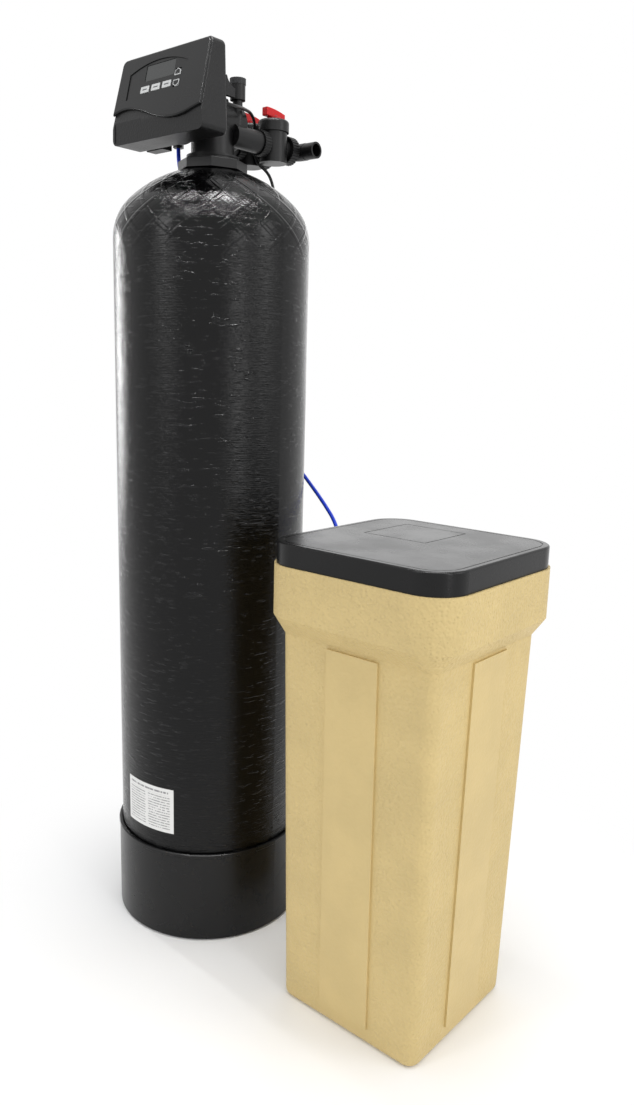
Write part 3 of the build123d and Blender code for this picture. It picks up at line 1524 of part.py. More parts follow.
# Brine well with its cap, standing on the tank's floor
well_spot = upright(brine_x + well_x, brine_y + well_y)
well_abs_y = brine_y + well_y
well_tube = bar(well_spot, well_radius, brine_wall, well_top_z, well_radius - well_wall)
well_entry = bar(sideways(fitting_abs_y, fitting_z), fitting_pipe_radius + slide_gap,
                 brine_x + well_x - well_radius, brine_x + well_x - well_radius + well_wall * 4)
well_cross = bar(sideways(well_abs_y, well_hole_rise), well_hole, brine_x + well_x - well_radius,
                 brine_x + well_x + well_radius)
with BuildPart() as brine_well:
    add(well_tube)
    add(well_entry, mode=Mode.SUBTRACT)
    add(well_cross, mode=Mode.SUBTRACT)
cap_outer = well_radius + fit_gap + well_wall
cap_shell = bar(well_spot, cap_outer, well_top_z - well_cap_skirt, well_top_z + well_cap_thickness)
cap_hollow = bar(well_spot, well_radius + fit_gap, well_top_z - well_cap_skirt, well_top_z)
with BuildPart() as well_cap:
    add(cap_shell)
    add(cap_hollow, mode=Mode.SUBTRACT)

# Float valve on the end of the fitting's pipe: body, dip tube, air check and two guides
valve_abs_x = brine_x + valve_x
float_abs_x = brine_x + float_x
float_abs_y = brine_y + float_y
valve_spot = upright(valve_abs_x, fitting_abs_y)
valve_top_z = fitting_z + valve_rise
valve_base = valve_top_z - valve_length
valve_bar = bar(valve_spot, valve_radius, valve_base, valve_top_z)
valve_boss = bar(sideways(fitting_abs_y, fitting_z), fitting_pipe_radius, valve_abs_x - valve_boss_reach,
                 valve_abs_x)
dip_bar = bar(valve_spot, dip_radius, dip_bottom, valve_base)
check_bar = bar(valve_spot, check_radius, dip_bottom, dip_bottom + check_length)
guide_spots = (fitting_z - guide_drop, fitting_z - guide_drop - guide_spacing)
guide_angle = degrees(atan2(float_abs_y - fitting_abs_y, float_abs_x - valve_abs_x))
guide_span = hypot(float_abs_x - valve_abs_x, float_abs_y - fitting_abs_y)
guide_plane = Plane(origin=(valve_abs_x, fitting_abs_y, 0),
                    x_dir=(cos(radians(guide_angle)), sin(radians(guide_angle)), 0), z_dir=(0, 0, 1))
with BuildPart() as float_valve:
    add(valve_bar)
    add(valve_boss)
    add(dip_bar)
    add(check_bar)
    for level in guide_spots:
        with BuildSketch(guide_plane.offset(level)):
            with Locations((guide_span / 2, 0)):
                Rectangle(guide_span, guide_half_width * 2)
            with Locations((guide_span, 0)):
                Circle(guide_radius)
                Circle(float_rod_radius + fit_gap, mode=Mode.SUBTRACT)
        extrude(amount=guide_plate)
float_spot = upright(float_abs_x, float_abs_y)
clip_base_z = guide_spots[0] + guide_plate + fit_gap
float_bar = bar(float_spot, float_radius, float_stop_z, float_stop_z + float_height)
float_rod = bar(float_spot, float_rod_radius, float_stop_z - float_rod_low, float_stop_z + float_rod_high)
float_clip = bar(float_spot, clip_radius, clip_base_z, clip_base_z + clip_height)
with BuildPart() as safety_float:
    add(float_bar)
    chamfer(safety_float.edges().filter_by(GeomType.CIRCLE), handle_edge)
    add(float_rod)
    add(float_clip)

# Salt grid on four legs with a hole round the well
grid_plane = Plane(origin=(brine_x, brine_y, grid_z))
leg_spots = [(across * grid_leg_offset, along * grid_leg_offset) for across, along in grid_leg_shares]
well_clear = well_radius + grid_hole_radius / 2


def free_spot(x, y):
    """Whether a grid hole keeps clear of the well and the legs."""
    clear_well = hypot(x - well_x, y - well_y) > well_clear + grid_hole_radius * 2
    clear_legs = all(hypot(x - a, y - b) > grid_leg_radius + grid_hole_radius for a, b in leg_spots)
    return clear_well and clear_legs


grid_range = range(-grid_count, grid_count + 1)
hole_spots = [(a * grid_pitch, b * grid_pitch) for a in grid_range for b in grid_range
              if free_spot(a * grid_pitch, b * grid_pitch)]
with BuildPart() as salt_grid:
    with BuildSketch(grid_plane):
        RectangleRounded(grid_half * 2, grid_half * 2, brine_foot_corner)
        with Locations((well_x, well_y)):
            Circle(well_clear, mode=Mode.SUBTRACT)
        with Locations((well_x - well_clear, well_y + well_clear)):
            Rectangle(well_clear * 2, well_clear * 2, mode=Mode.SUBTRACT)
        with Locations(hole_spots):
            Circle(grid_hole_radius, mode=Mode.SUBTRACT)
    extrude(amount=grid_plate)
    with BuildSketch(Plane(origin=(brine_x, brine_y, brine_wall))):
        with Locations(leg_spots):
            Circle(grid_leg_radius)
            Circle(grid_leg_radius - grid_leg_wall, mode=Mode.SUBTRACT)
    extrude(amount=grid_z - brine_wall)

# Fitting through the collar: nut, flange and the pipe that reaches the float valve
fitting_spot = sideways(fitting_abs_y, fitting_z)
fitting_out = collar_left_x - fitting_flange_thickness
fitting_flange = bar(fitting_spot, fitting_flange_radius, fitting_out, collar_left_x)
fitting_pipe = bar(fitting_spot, fitting_pipe_radius, collar_left_x, valve_abs_x - valve_boss_reach)
fitting_duct = bar(fitting_spot, fitting_bore, fitting_out - fitting_nut_length, valve_abs_x)
with BuildPart() as wall_fitting:
    with BuildSketch(fitting_spot.offset(fitting_out - fitting_nut_length)):
        RegularPolygon(radius=fitting_nut_radius, side_count=6)
    extrude(amount=fitting_nut_length)
    add(fitting_flange)
    add(fitting_pipe)
    add(fitting_duct, mode=Mode.SUBTRACT)

# Overflow elbow on the rear of the collar
overflow_start = collar_rear_y - brine_wall - overrun
overflow_tube = elbow([(overflow_abs_x, overflow_start, overflow_z),
                       (overflow_abs_x, collar_rear_y + overflow_reach, overflow_z),
                       (overflow_abs_x, collar_rear_y + overflow_reach, overflow_z - overflow_drop)],
                      overflow_radius + overrun, overflow_radius, overflow_bore)
overflow_plate = bar(behind(overflow_abs_x, overflow_z), overflow_flange, collar_rear_y,
                     collar_rear_y + overflow_flange_thickness, overflow_bore)
with BuildPart() as overflow_elbow:
    add(overflow_tube)
    add(overflow_plate)


def cord(points, radius, title):
    """Round cord along straight runs that are joined by tangent arcs."""
    radii = []
    for before, corner, after in zip(points, points[1:], points[2:]):
        inward = Vector(*corner) - Vector(*before)
        onward = Vector(*after) - Vector(*corner)
        half_turn = radians(inward.get_angle(onward)) / 2
        radii.append(bend_share * min(inward.length, onward.length) / tan(half_turn))
    with BuildPart() as body:
        with BuildLine() as path:
            FilletPolyline(*points, radius=radii)
        with BuildSketch(Plane(origin=path.line @ 0, z_dir=path.line % 0)):
            Circle(radius)
        sweep()
    print(title, "radii", [round(value, 1) for value in radii])
    reach = sum(edge.length for edge in path.line.edges())
    print(title, "volume over section and length", round(body.part.volume / (pi * radius**2 * reach), 4))
    return body.part


# Brine line from the valve's nut to the fitting on the brine tank
line_part = cord(line_points, line_radius, "brine line")
with BuildPart() as brine_line:
    add(line_part)


def coil_spot(quarter):
    """Point on the coil after a number of quarter turns."""
    angle = radians(coil_start_angle + quarter * quarter_turn)
    height = coil_lift + coil_pitch * (coil_quarter_count - quarter) / 4
    return Vector(coil_centre_x + coil_radius * cos(angle), coil_centre_y + coil_radius * sin(angle), height)


def coil_way(quarter):
    """Direction of the coil after a number of quarter turns."""
    angle = radians(coil_start_angle + quarter * quarter_turn)
    fall = coil_pitch / (2 * pi * coil_radius)
    if quarter == coil_quarter_count:
        fall = 0
    return Vector(-sin(angle), cos(angle), -fall).normalized()


def arc_pair(start, way, end, end_way):
    """Middle point of two arcs that leave one point and reach another along given ways."""
    span = end - start
    along = span.dot(way + end_way)
    bend = 2 * (way.dot(end_way) - 1)
    reach = (along * 2 - sqrt(4 * along**2 - 4 * bend * span.dot(span))) / (2 * bend)
    first = start + way * reach
    second = end - end_way * reach
    return (first + second) * (1 / 2), (second - first).normalized()


# Power lead down the back of the tank and the coil that it ends in
coil_start = coil_spot(0)
coil_before = coil_start - coil_way(0) * coil_approach
lead_route = list(lead_points) + [tuple(coil_before), tuple(coil_start)]
lead_part = cord(lead_route, lead_radius, "power lead")
with BuildPart() as power_lead:
    add(lead_part)
coil_end = coil_spot(coil_quarter_count)
coil_end_way = coil_way(coil_quarter_count)
tail_end = coil_end + coil_end_way * coil_tail
with BuildPart() as lead_coil:
    with BuildLine() as coil_path:
        for index in range(coil_quarter_count):
            spot, way = coil_spot(index), coil_way(index)
            next_spot, next_way = coil_spot(index + 1), coil_way(index + 1)
            middle, middle_way = arc_pair(spot, way, next_spot, next_way)
            TangentArc(spot, middle, tangent=way)
            TangentArc(middle, next_spot, tangent=middle_way)
        Line(coil_end, tail_end)
    with BuildSketch(Plane(origin=coil_start, z_dir=coil_way(0))):
        Circle(lead_radius)
    sweep()
coil_line = coil_path.line
coil_samples = [coil_line @ (index / sample_count) for index in range(sample_count + 1)]
coil_length = sum(edge.length for edge in coil_line.edges())
turn_samples = int(sample_count * pi * coil_radius / coil_length)
coil_gaps = [(coil_samples[i] - coil_samples[j]).length - lead_radius * 2
             for i in range(sample_count + 1) for j in range(i + turn_samples, sample_count + 1)]
print("coil least gap to itself", round(min(coil_gaps), 2))
print("coil volume over section and length",
      round(lead_coil.part.volume / (pi * lead_radius**2 * coil_length), 4))

# Tie round the two lowest wires of the coil, half a turn before its end
tie_quarter = coil_quarter_count - 2
tie_low = coil_spot(tie_quarter)
tie_angle = radians(coil_start_angle + tie_quarter * quarter_turn)
tie_plane = Plane(origin=(tie_low.X, tie_low.Y, tie_low.Z + coil_pitch / 2),
                  x_dir=(cos(tie_angle), sin(tie_angle), 0),
                  z_dir=(-sin(tie_angle), cos(tie_angle), 0))
tie_half = lead_radius + tie_gap
with BuildPart() as coil_tie:
    with BuildSketch(tie_plane.offset(-tie_width / 2)):
        RectangleRounded((tie_half + tie_wall) * 2, (tie_half + tie_wall) * 2 + coil_pitch, tie_half)
        RectangleRounded(tie_half * 2, tie_half * 2 + coil_pitch, tie_half - tie_wall, mode=Mode.SUBTRACT)
    extrude(amount=tie_width)

# Plug-in supply on the floor at the end of the coil's tail, with two blades
supply_plane = Plane(origin=(tail_end.X, tail_end.Y, 0), x_dir=(-coil_end_way.Y, coil_end_way.X, 0),
                     z_dir=(0, 0, 1))
way_sign = 1 if supply_plane.y_dir.dot(coil_end_way) > 0 else -1
blade_plane = Plane(origin=(tail_end.X, tail_end.Y, supply_height), x_dir=supply_plane.x_dir,
                    z_dir=(0, 0, 1))
with BuildPart() as power_adapter:
    with BuildSketch(supply_plane):
        with Locations((0, way_sign * supply_length / 2)):
            Rectangle(supply_width, supply_length)
    extrude(amount=supply_height)
    fillet(power_adapter.faces().sort_by(Axis.Z)[-1].edges(), supply_edge)
    with BuildSketch(blade_plane):
        with Locations(*[(side * blade_span / 2, way_sign * supply_length / 2) for side in sides]):
            Rectangle(blade_thickness, blade_width)
    extrude(amount=blade_length)

pieces = {
    "resin_tank": resin_tank, "tank_boot": tank_boot, "tank_label": tank_label,
    "neck_adapter": neck_adapter, "distributor_tube": distributor_tube, "top_basket": top_basket,
    "resin_bed": resin_bed, "gravel_bed": gravel_bed, "valve_body": valve_body,
    "neck_seal": neck_seal, "spacer_stack": spacer_stack, "main_piston": main_piston,
    "drive_cap": drive_cap, "main_gear": main_gear, "reduction_gear": reduction_gear,
    "motor_pinion": motor_pinion, "drive_motor": drive_motor, "drive_bracket": drive_bracket,
    "circuit_board": circuit_board, "back_housing": back_housing, "front_cover": front_cover,
    "display_lens": display_lens, "button_left": button_left, "button_middle": button_middle,
    "button_right": button_right, "button_up": button_up, "button_down": button_down,
    "housing_screws": housing_screws, "injector": injector, "injector_cap": injector_cap,
    "drain_elbow": drain_elbow, "brine_elbow": brine_elbow, "brine_nut": brine_nut,
    "meter_turbine": meter_turbine, "bypass_nuts": bypass_nuts, "bypass_body": bypass_body,
    "bypass_seals": bypass_seals, "rotor_near": rotor_near, "rotor_far": rotor_far,
    "rotor_caps": rotor_caps, "handle_near": handle_near, "handle_far": handle_far,
    "elbow_nuts": elbow_nuts, "pipe_elbows": pipe_elbows, "lead_gland": lead_gland,
    "brine_tank": brine_tank, "tank_lid": tank_lid, "brine_well": brine_well,
    "well_cap": well_cap, "float_valve": float_valve, "safety_float": safety_float,
    "salt_grid": salt_grid, "wall_fitting": wall_fitting, "overflow_elbow": overflow_elbow,
    "brine_line": brine_line, "power_lead": power_lead, "lead_coil": lead_coil,
    "coil_tie": coil_tie, "power_adapter": power_adapter,
}
for name, piece in pieces.items():
    piece.part.label = name
    export_step(piece.part, f"parts/{name}.step")
    print(name, len(piece.part.solids()), round(piece.part.volume))
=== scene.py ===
"""Water softener: finishes, detail pieces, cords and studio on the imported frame."""

import json
import logging
import math
from collections.abc import Callable
from dataclasses import dataclass
from enum import Enum

import bpy
import numpy as np
from mathutils import Matrix, Vector

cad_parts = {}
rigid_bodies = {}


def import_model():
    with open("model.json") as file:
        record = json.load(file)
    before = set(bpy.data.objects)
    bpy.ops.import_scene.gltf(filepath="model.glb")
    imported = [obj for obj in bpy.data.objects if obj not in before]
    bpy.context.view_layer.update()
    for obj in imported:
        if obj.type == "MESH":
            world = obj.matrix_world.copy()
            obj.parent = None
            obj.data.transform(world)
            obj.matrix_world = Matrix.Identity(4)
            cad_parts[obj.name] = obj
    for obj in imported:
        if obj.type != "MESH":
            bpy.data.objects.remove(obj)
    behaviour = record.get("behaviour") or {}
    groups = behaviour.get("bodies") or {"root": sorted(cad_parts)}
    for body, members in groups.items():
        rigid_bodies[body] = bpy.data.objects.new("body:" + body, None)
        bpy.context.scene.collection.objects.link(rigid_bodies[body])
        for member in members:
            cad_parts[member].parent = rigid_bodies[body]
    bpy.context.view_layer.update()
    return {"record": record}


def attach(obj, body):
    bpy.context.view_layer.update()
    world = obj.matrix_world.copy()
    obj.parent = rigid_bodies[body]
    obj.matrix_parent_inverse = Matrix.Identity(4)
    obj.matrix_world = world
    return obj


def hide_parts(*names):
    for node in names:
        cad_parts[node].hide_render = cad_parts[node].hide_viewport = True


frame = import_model()
LOG = logging.getLogger("softener")
Point = tuple[float, float, float]
Edges = tuple[float, float, float, float]


class Shade(Enum):
    """Named colours of the softener, as linear red, green and blue."""

    SHELL = (0.0015, 0.0015, 0.0017)
    BOOT = (0.0035, 0.0035, 0.0038)
    HEAD = (0.0050, 0.0050, 0.0054)
    PANEL = (0.0042, 0.0044, 0.0048)
    VALVE = (0.0045, 0.0045, 0.0048)
    CAP = (0.0300, 0.0310, 0.0330)
    RED = (0.5600, 0.0080, 0.0100)
    KEY = (0.5600, 0.5700, 0.5700)
    # Lens tint, raised by a painted reflection.
    LENS_TINT_AND_SHEEN = (0.0260, 0.0280, 0.0280)
    TUB = (0.6200, 0.4750, 0.2150)
    LID = (0.0045, 0.0045, 0.0047)
    LINE = (0.0120, 0.0500, 0.6200)
    LEAD = (0.0060, 0.0060, 0.0062)
    LABEL = (0.7800, 0.7800, 0.7700)
    PRINT = (0.2300, 0.2300, 0.2350)
    IVORY = (0.6600, 0.6400, 0.5600)
    GREY = (0.1200, 0.1220, 0.1260)
    STEEL = (0.5200, 0.5300, 0.5500)
    BOARD = (0.0120, 0.1100, 0.0420)
    AMBER = (0.4200, 0.1800, 0.0350)
    STONE = (0.2600, 0.2200, 0.1800)
    # Painted highlight colour of the shell's glint specks.
    PAINTED_GLINT = (0.0120, 0.0120, 0.0130)
    # Lens haze, partly real haze and partly painted sheen.
    HAZE_AND_SHEEN = (0.0300, 0.0340, 0.0320)
    FLOOR = (0.9300, 0.9300, 0.9300)


class Tree:
    """Short calls for building one shader node tree."""

    def __init__(self, tree: bpy.types.NodeTree) -> None:
        """Keep the tree that the calls add to."""
        self.tree = tree

    def add(self, kind: str, **values: object) -> bpy.types.Node:
        """Add a node and set its properties and its inputs.

        Args:
            kind: Node type without its ShaderNode prefix.
            values: Property values, or input values by socket name with _ for spaces.

        Returns:
            The new node.
        """
        node = self.tree.nodes.new(kind if kind.startswith("Node") else "ShaderNode" + kind)
        for name, value in values.items():
            if hasattr(node, name):
                setattr(node, name, value)
            else:
                node.inputs[name.replace("_", " ")].default_value = value
        return node

    def link(self, source: bpy.types.NodeSocket, target: bpy.types.NodeSocket) -> None:
        """Join two sockets."""
        self.tree.links.new(source, target)

    def sums(self, kind: str, first: object, second: object = 0.0) -> bpy.types.NodeSocket:
        """Math node on one or two sockets or numbers.

        Args:
            kind: Operation name.
            first: Socket or number.
            second: Socket or number, which an operation on one value leaves unused.

        Returns:
            The result's socket.
        """
        node = self.add("Math", operation=kind)
        for slot, value in zip(node.inputs, (first, second)):
            if isinstance(value, (int, float)):
                slot.default_value = value
            else:
                self.link(value, slot)
        return node.outputs[0]

    def line(self, value: bpy.types.NodeSocket, slope: float, base: float) -> bpy.types.NodeSocket:
        """Value times a slope, plus a base.

        Args:
            value: Socket that varies.
            slope: Number it is multiplied by.
            base: Number that is added.

        Returns:
            The result's socket.
        """
        node = self.add("Math", operation="MULTIPLY_ADD")
        self.link(value, node.inputs[0])
        node.inputs[1].default_value = slope
        node.inputs[2].default_value = base
        return node.outputs[0]

    def band(self, value: bpy.types.NodeSocket, low: float, high: float, start: float = 0.0,
             end: float = 1.0) -> bpy.types.NodeSocket:
        """Smooth step of a value from one range to another.

        Args:
            value: Socket that varies.
            low: Value where the step starts.
            high: Value where it ends.
            start: Result below the step.
            end: Result above it.

        Returns:
            The result's socket.
        """
        node = self.add("MapRange", interpolation_type="SMOOTHSTEP")
        self.link(value, node.inputs["Value"])
        for name, number in (("From Min", low), ("From Max", high), ("To Min", start),
                             ("To Max", end)):
            node.inputs[name].default_value = number
        return node.outputs["Result"]

    def window(self, value: bpy.types.NodeSocket, edges: Edges) -> bpy.types.NodeSocket:
        """Smooth step up and down again.

        Args:
            value: Socket that varies.
            edges: Where the rise starts and ends, then where the fall starts and ends.

        Returns:
            The result's socket, 1 between the rise and the fall.
        """
        rise, risen, fall, fallen = edges
        return self.sums("MULTIPLY", self.band(value, rise, risen),
                         self.band(value, fall, fallen, 1.0, 0.0))

    def blend(self, factor: bpy.types.NodeSocket, first: object,
              second: object) -> bpy.types.NodeSocket:
        """Mix of two colours, each a socket or a value.

        Args:
            factor: Socket of the share of the second.
            first: First colour.
            second: Second colour.

        Returns:
            The mixed colour's socket.
        """
        node = self.add("Mix", data_type="RGBA")
        self.link(factor, node.inputs["Factor"])
        for slot, value in ((node.inputs[6], first), (node.inputs[7], second)):
            if isinstance(value, tuple):
                slot.default_value = (*value, 1.0)
            else:
                self.link(value, slot)
        return node.outputs[2]


def new_group(name: str, inputs: dict[str, float],
              outputs: tuple[str, ...]) -> tuple[Tree, dict, dict]:
    """Start a shader node group with number sockets.

    Args:
        name: Group's name.
        inputs: Default value of each input by name.
        outputs: Names of the outputs.

    Returns:
        The tree, the input sockets and the output sockets by name.
    """
    group = bpy.data.node_groups.new(name, "ShaderNodeTree")
    for title, value in inputs.items():
        socket = group.interface.new_socket(name=title, in_out="INPUT",
                                            socket_type="NodeSocketFloat")
        socket.default_value = value
    for title in outputs:
        group.interface.new_socket(name=title, in_out="OUTPUT", socket_type="NodeSocketFloat")
    tree = Tree(group)
    entry = tree.add("NodeGroupInput")
    leave = tree.add("NodeGroupOutput")
    given = {title: entry.outputs[title] for title in inputs}
    out = {title: leave.inputs[title] for title in outputs}
    return tree, given, out


@dataclass(frozen=True)
class Grain:
    """Moulded grain: rounded cells and a finer noise added up as a height."""

    scale: float = 900.0
    pebble: float = 0.5
    fine_detail: float = 3.0
    broad_scale: float = 14.0
    broad_detail: float = 4.0
    mottle: tuple[float, float] = (0.3, 0.7)

    def build(self) -> bpy.types.NodeTree:
        """Build the group.

        Returns:
            The group, with Scale and Pebble in and Height and Mottle out.
        """
        tree, given, out = new_group("moulded_grain", {"Scale": self.scale, "Pebble": self.pebble},
                                     ("Height", "Mottle"))
        spot = tree.add("TexCoord").outputs["Object"]
        cells = tree.add("TexVoronoi", feature="SMOOTH_F1")
        fine = tree.add("TexNoise", Detail=self.fine_detail)
        broad = tree.add("TexNoise", Scale=self.broad_scale, Detail=self.broad_detail)
        for node in (cells, fine, broad):
            tree.link(spot, node.inputs["Vector"])
        tree.link(given["Scale"], cells.inputs["Scale"])
        tree.link(given["Scale"], fine.inputs["Scale"])
        pebble = tree.sums("MULTIPLY", cells.outputs["Distance"], given["Pebble"])
        rest = tree.sums("SUBTRACT", 1.0, given["Pebble"])
        height = tree.sums("ADD", pebble, tree.sums("MULTIPLY", fine.outputs["Fac"], rest))
        tree.link(height, out["Height"])
        tree.link(tree.band(broad.outputs["Fac"], *self.mottle), out["Mottle"])
        return tree.tree


@dataclass(frozen=True)
class StrandFamily:
    """Strands that run one way: their lean, how many to a metre and their share of the height."""

    lean: float
    pitch: float
    share: float


@dataclass(frozen=True)
class Winding:
    """Wound roving: hoop strands across the shell and crossing helical strands on its domes."""

    hoops: StrandFamily = StrandFamily(0.0, 620.0, 1.0)
    helices: tuple[StrandFamily, ...] = (StrandFamily(0.10, 260.0, 0.6),
                                         StrandFamily(-0.10, 260.0, 0.6))
    turn_stretch: float = 3.0
    strand_detail: float = 3.0
    strand_roughness: float = 0.62
    ridge_leans: tuple[float, float] = (150.0, -150.0)
    ridge_count: float = 18.0
    ridge_step: tuple[float, float] = (0.7, 1.0)
    ridge_share: float = 0.9
    fleck_scale: float = 150.0
    fleck_detail: float = 2.0
    fleck_stretch: Point = (0.3, 0.3, 1.5)
    fleck_step: tuple[float, float] = (0.58, 0.72)
    fleck_share: float = 0.8

    def strands(self, tree: Tree, family: StrandFamily, turn: bpy.types.NodeSocket,
                level: bpy.types.NodeSocket, gate: bpy.types.NodeSocket) -> bpy.types.NodeSocket:
        """Height of one family of strands.

        Args:
            tree: Group's tree.
            family: The family.
            turn: Angle about the shell's axis.
            level: Height on the shell.
            gate: How strongly the family shows.

        Returns:
            The height's socket.
        """
        across = tree.sums("ADD", tree.sums("MULTIPLY", turn, family.lean), level)
        place = tree.add("CombineXYZ")
        tree.link(tree.sums("MULTIPLY", across, family.pitch), place.inputs["X"])
        tree.link(tree.sums("MULTIPLY", turn, self.turn_stretch), place.inputs["Y"])
        strand = tree.add("TexNoise", Scale=1.0, Detail=self.strand_detail,
                          Roughness=self.strand_roughness)
        tree.link(place.outputs[0], strand.inputs["Vector"])
        part = tree.sums("MULTIPLY", strand.outputs["Fac"], family.share)
        return tree.sums("MULTIPLY", part, gate)

    def build(self) -> bpy.types.NodeTree:
        """Build the group.

        Returns:
            The group, with Hoop and Cross in and Height and Glint out.
        """
        tree, given, out = new_group("wound_roving", {"Hoop": 1.0, "Cross": 1.0},
                                     ("Height", "Glint"))
        spot = tree.add("TexCoord").outputs["Object"]
        split = tree.add("SeparateXYZ")
        tree.link(spot, split.inputs[0])
        turn = tree.sums("ARCTAN2", split.outputs["Y"], split.outputs["X"])
        level = split.outputs["Z"]
        total = self.strands(tree, self.hoops, turn, level, given["Hoop"])
        for family in self.helices:
            total = tree.sums("ADD", total, self.strands(tree, family, turn, level, given["Cross"]))
        for lean in self.ridge_leans:
            wave = tree.sums("SINE", tree.sums("ADD", tree.sums("MULTIPLY", turn, self.ridge_count),
                                               tree.sums("MULTIPLY", level, lean)))
            ridge = tree.sums("MULTIPLY", tree.band(wave, *self.ridge_step), self.ridge_share)
            total = tree.sums("ADD", total, tree.sums("MULTIPLY", ridge, given["Cross"]))
        flecks = tree.add("TexNoise", Scale=self.fleck_scale, Detail=self.fleck_detail)
        stretch = tree.add("Mapping")
        stretch.inputs["Scale"].default_value = self.fleck_stretch
        tree.link(spot, stretch.inputs["Vector"])
        tree.link(stretch.outputs[0], flecks.inputs["Vector"])
        glint = tree.band(flecks.outputs["Fac"], *self.fleck_step)
        raised = tree.sums("MULTIPLY", glint, self.fleck_share)
        tree.link(tree.sums("ADD", total, raised), out["Height"])
        tree.link(glint, out["Glint"])
        return tree.tree


@dataclass(frozen=True)
class Scuff:
    """Handling marks: short streaks and a soft film that gathers on faces that look up."""

    amount: float = 0.5
    streak_turn: Point = (0.4, 0.9, 0.3)
    streak_stretch: Point = (9.0, 90.0, 60.0)
    streak_scale: float = 3.0
    streak_detail: float = 5.0
    streak_roughness: float = 0.7
    streak_step: tuple[float, float] = (0.62, 0.78)
    cloud_scale: float = 22.0
    cloud_detail: float = 4.0
    film_step: tuple[float, float] = (0.2, 1.0)

    def build(self) -> bpy.types.NodeTree:
        """Build the group.

        Returns:
            The group, with Amount in and Streak and Film out.
        """
        tree, given, out = new_group("handling_marks", {"Amount": self.amount}, ("Streak", "Film"))
        spot = tree.add("TexCoord").outputs["Object"]
        stretch = tree.add("Mapping")
        stretch.inputs["Rotation"].default_value = self.streak_turn
        stretch.inputs["Scale"].default_value = self.streak_stretch
        tree.link(spot, stretch.inputs["Vector"])
        lines = tree.add("TexNoise", Scale=self.streak_scale, Detail=self.streak_detail,
                         Roughness=self.streak_roughness)
        tree.link(stretch.outputs[0], lines.inputs["Vector"])
        streak = tree.band(lines.outputs["Fac"], *self.streak_step)
        tree.link(tree.sums("MULTIPLY", streak, given["Amount"]), out["Streak"])
        faces = tree.add("SeparateXYZ")
        tree.link(tree.add("NewGeometry").outputs["Normal"], faces.inputs[0])
        cloud = tree.add("TexNoise", Scale=self.cloud_scale, Detail=self.cloud_detail)
        tree.link(spot, cloud.inputs["Vector"])
        upward = tree.band(faces.outputs["Z"], *self.film_step)
        film = tree.sums("MULTIPLY", upward, cloud.outputs["Fac"])
        tree.link(tree.sums("MULTIPLY", film, given["Amount"]), out["Film"])
        return tree.tree


class Groups:
    """The shared node groups, each built once."""

    def __init__(self) -> None:
        """Build the groups."""
        self.grain = Grain().build()
        self.winding = Winding().build()
        self.scuff = Scuff().build()

    def place(self, tree: Tree, group: bpy.types.NodeTree, **values: float) -> bpy.types.Node:
        """Put a group into a material's tree with its own values.

        Args:
            tree: Material's tree.
            group: Group to place.
            values: Input values by name.

        Returns:
            The group's node.
        """
        node = tree.add("Group", node_tree=group)
        for name, value in values.items():
            node.inputs[name].default_value = value
        return node


def start_material(name: str) -> tuple[bpy.types.Material, Tree, bpy.types.Node]:
    """Start a node material.

    Args:
        name: Material's name.

    Returns:
        The material, its tree and its Principled node.
    """
    material = bpy.data.materials.new(name)
    material.use_nodes = True
    tree = Tree(material.node_tree)
    return material, tree, material.node_tree.nodes["Principled BSDF"]


def relief(tree: Tree, shader: bpy.types.Node, height: bpy.types.NodeSocket, depth: float) -> None:
    """Bump the surface by a height.

    Args:
        tree: Material's tree.
        shader: Its Principled node.
        height: Height's socket.
        depth: Depth in metres of a height of 1.
    """
    bump = tree.add("Bump", Strength=1.0, Distance=depth)
    tree.link(height, bump.inputs["Height"])
    tree.link(bump.outputs[0], shader.inputs["Normal"])


@dataclass(frozen=True)
class Moulded:
    """Moulded plastic or rubber, or plain metal: a grain, a slight mottle and handling marks."""

    name: str
    shade: Shade
    roughness: float = 0.42
    grain: float = 900.0
    pebble: float = 0.5
    depth: float = 0.00006
    marks: float = 0.35
    specular: float = 0.3
    metallic: float = 0.0
    film_tone: float = 0.5
    film_share: float = 0.025
    film_gain: float = 0.002
    film_cover: float = 0.15
    deep_share: float = 0.88
    mottle_roughness: float = 0.07
    streak_roughness: float = 0.15

    def make(self, groups: Groups) -> bpy.types.Material:
        """Build the material.

        Args:
            groups: Shared node groups.

        Returns:
            The material.
        """
        material, tree, shader = start_material(self.name)
        base = self.shade.value
        pale = tuple(channel + (self.film_tone - channel) * self.film_share + self.film_gain
                     for channel in base)
        deep = tuple(channel * self.deep_share for channel in base)
        grain = groups.place(tree, groups.grain, Scale=self.grain, Pebble=self.pebble)
        marks = groups.place(tree, groups.scuff, Amount=self.marks)
        colour = tree.blend(grain.outputs["Mottle"], deep, base)
        cover = tree.sums("MULTIPLY", marks.outputs["Film"], self.film_cover)
        colour = tree.blend(cover, colour, pale)
        tree.link(colour, shader.inputs["Base Color"])
        rough = tree.line(grain.outputs["Mottle"], self.mottle_roughness,
                          self.roughness - self.mottle_roughness / 2)
        streak = tree.sums("MULTIPLY", marks.outputs["Streak"], self.streak_roughness)
        tree.link(tree.sums("ADD", rough, streak), shader.inputs["Roughness"])
        relief(tree, shader, grain.outputs["Height"], self.depth)
        shader.inputs["Specular IOR Level"].default_value = self.specular
        shader.inputs["Metallic"].default_value = self.metallic
        return material


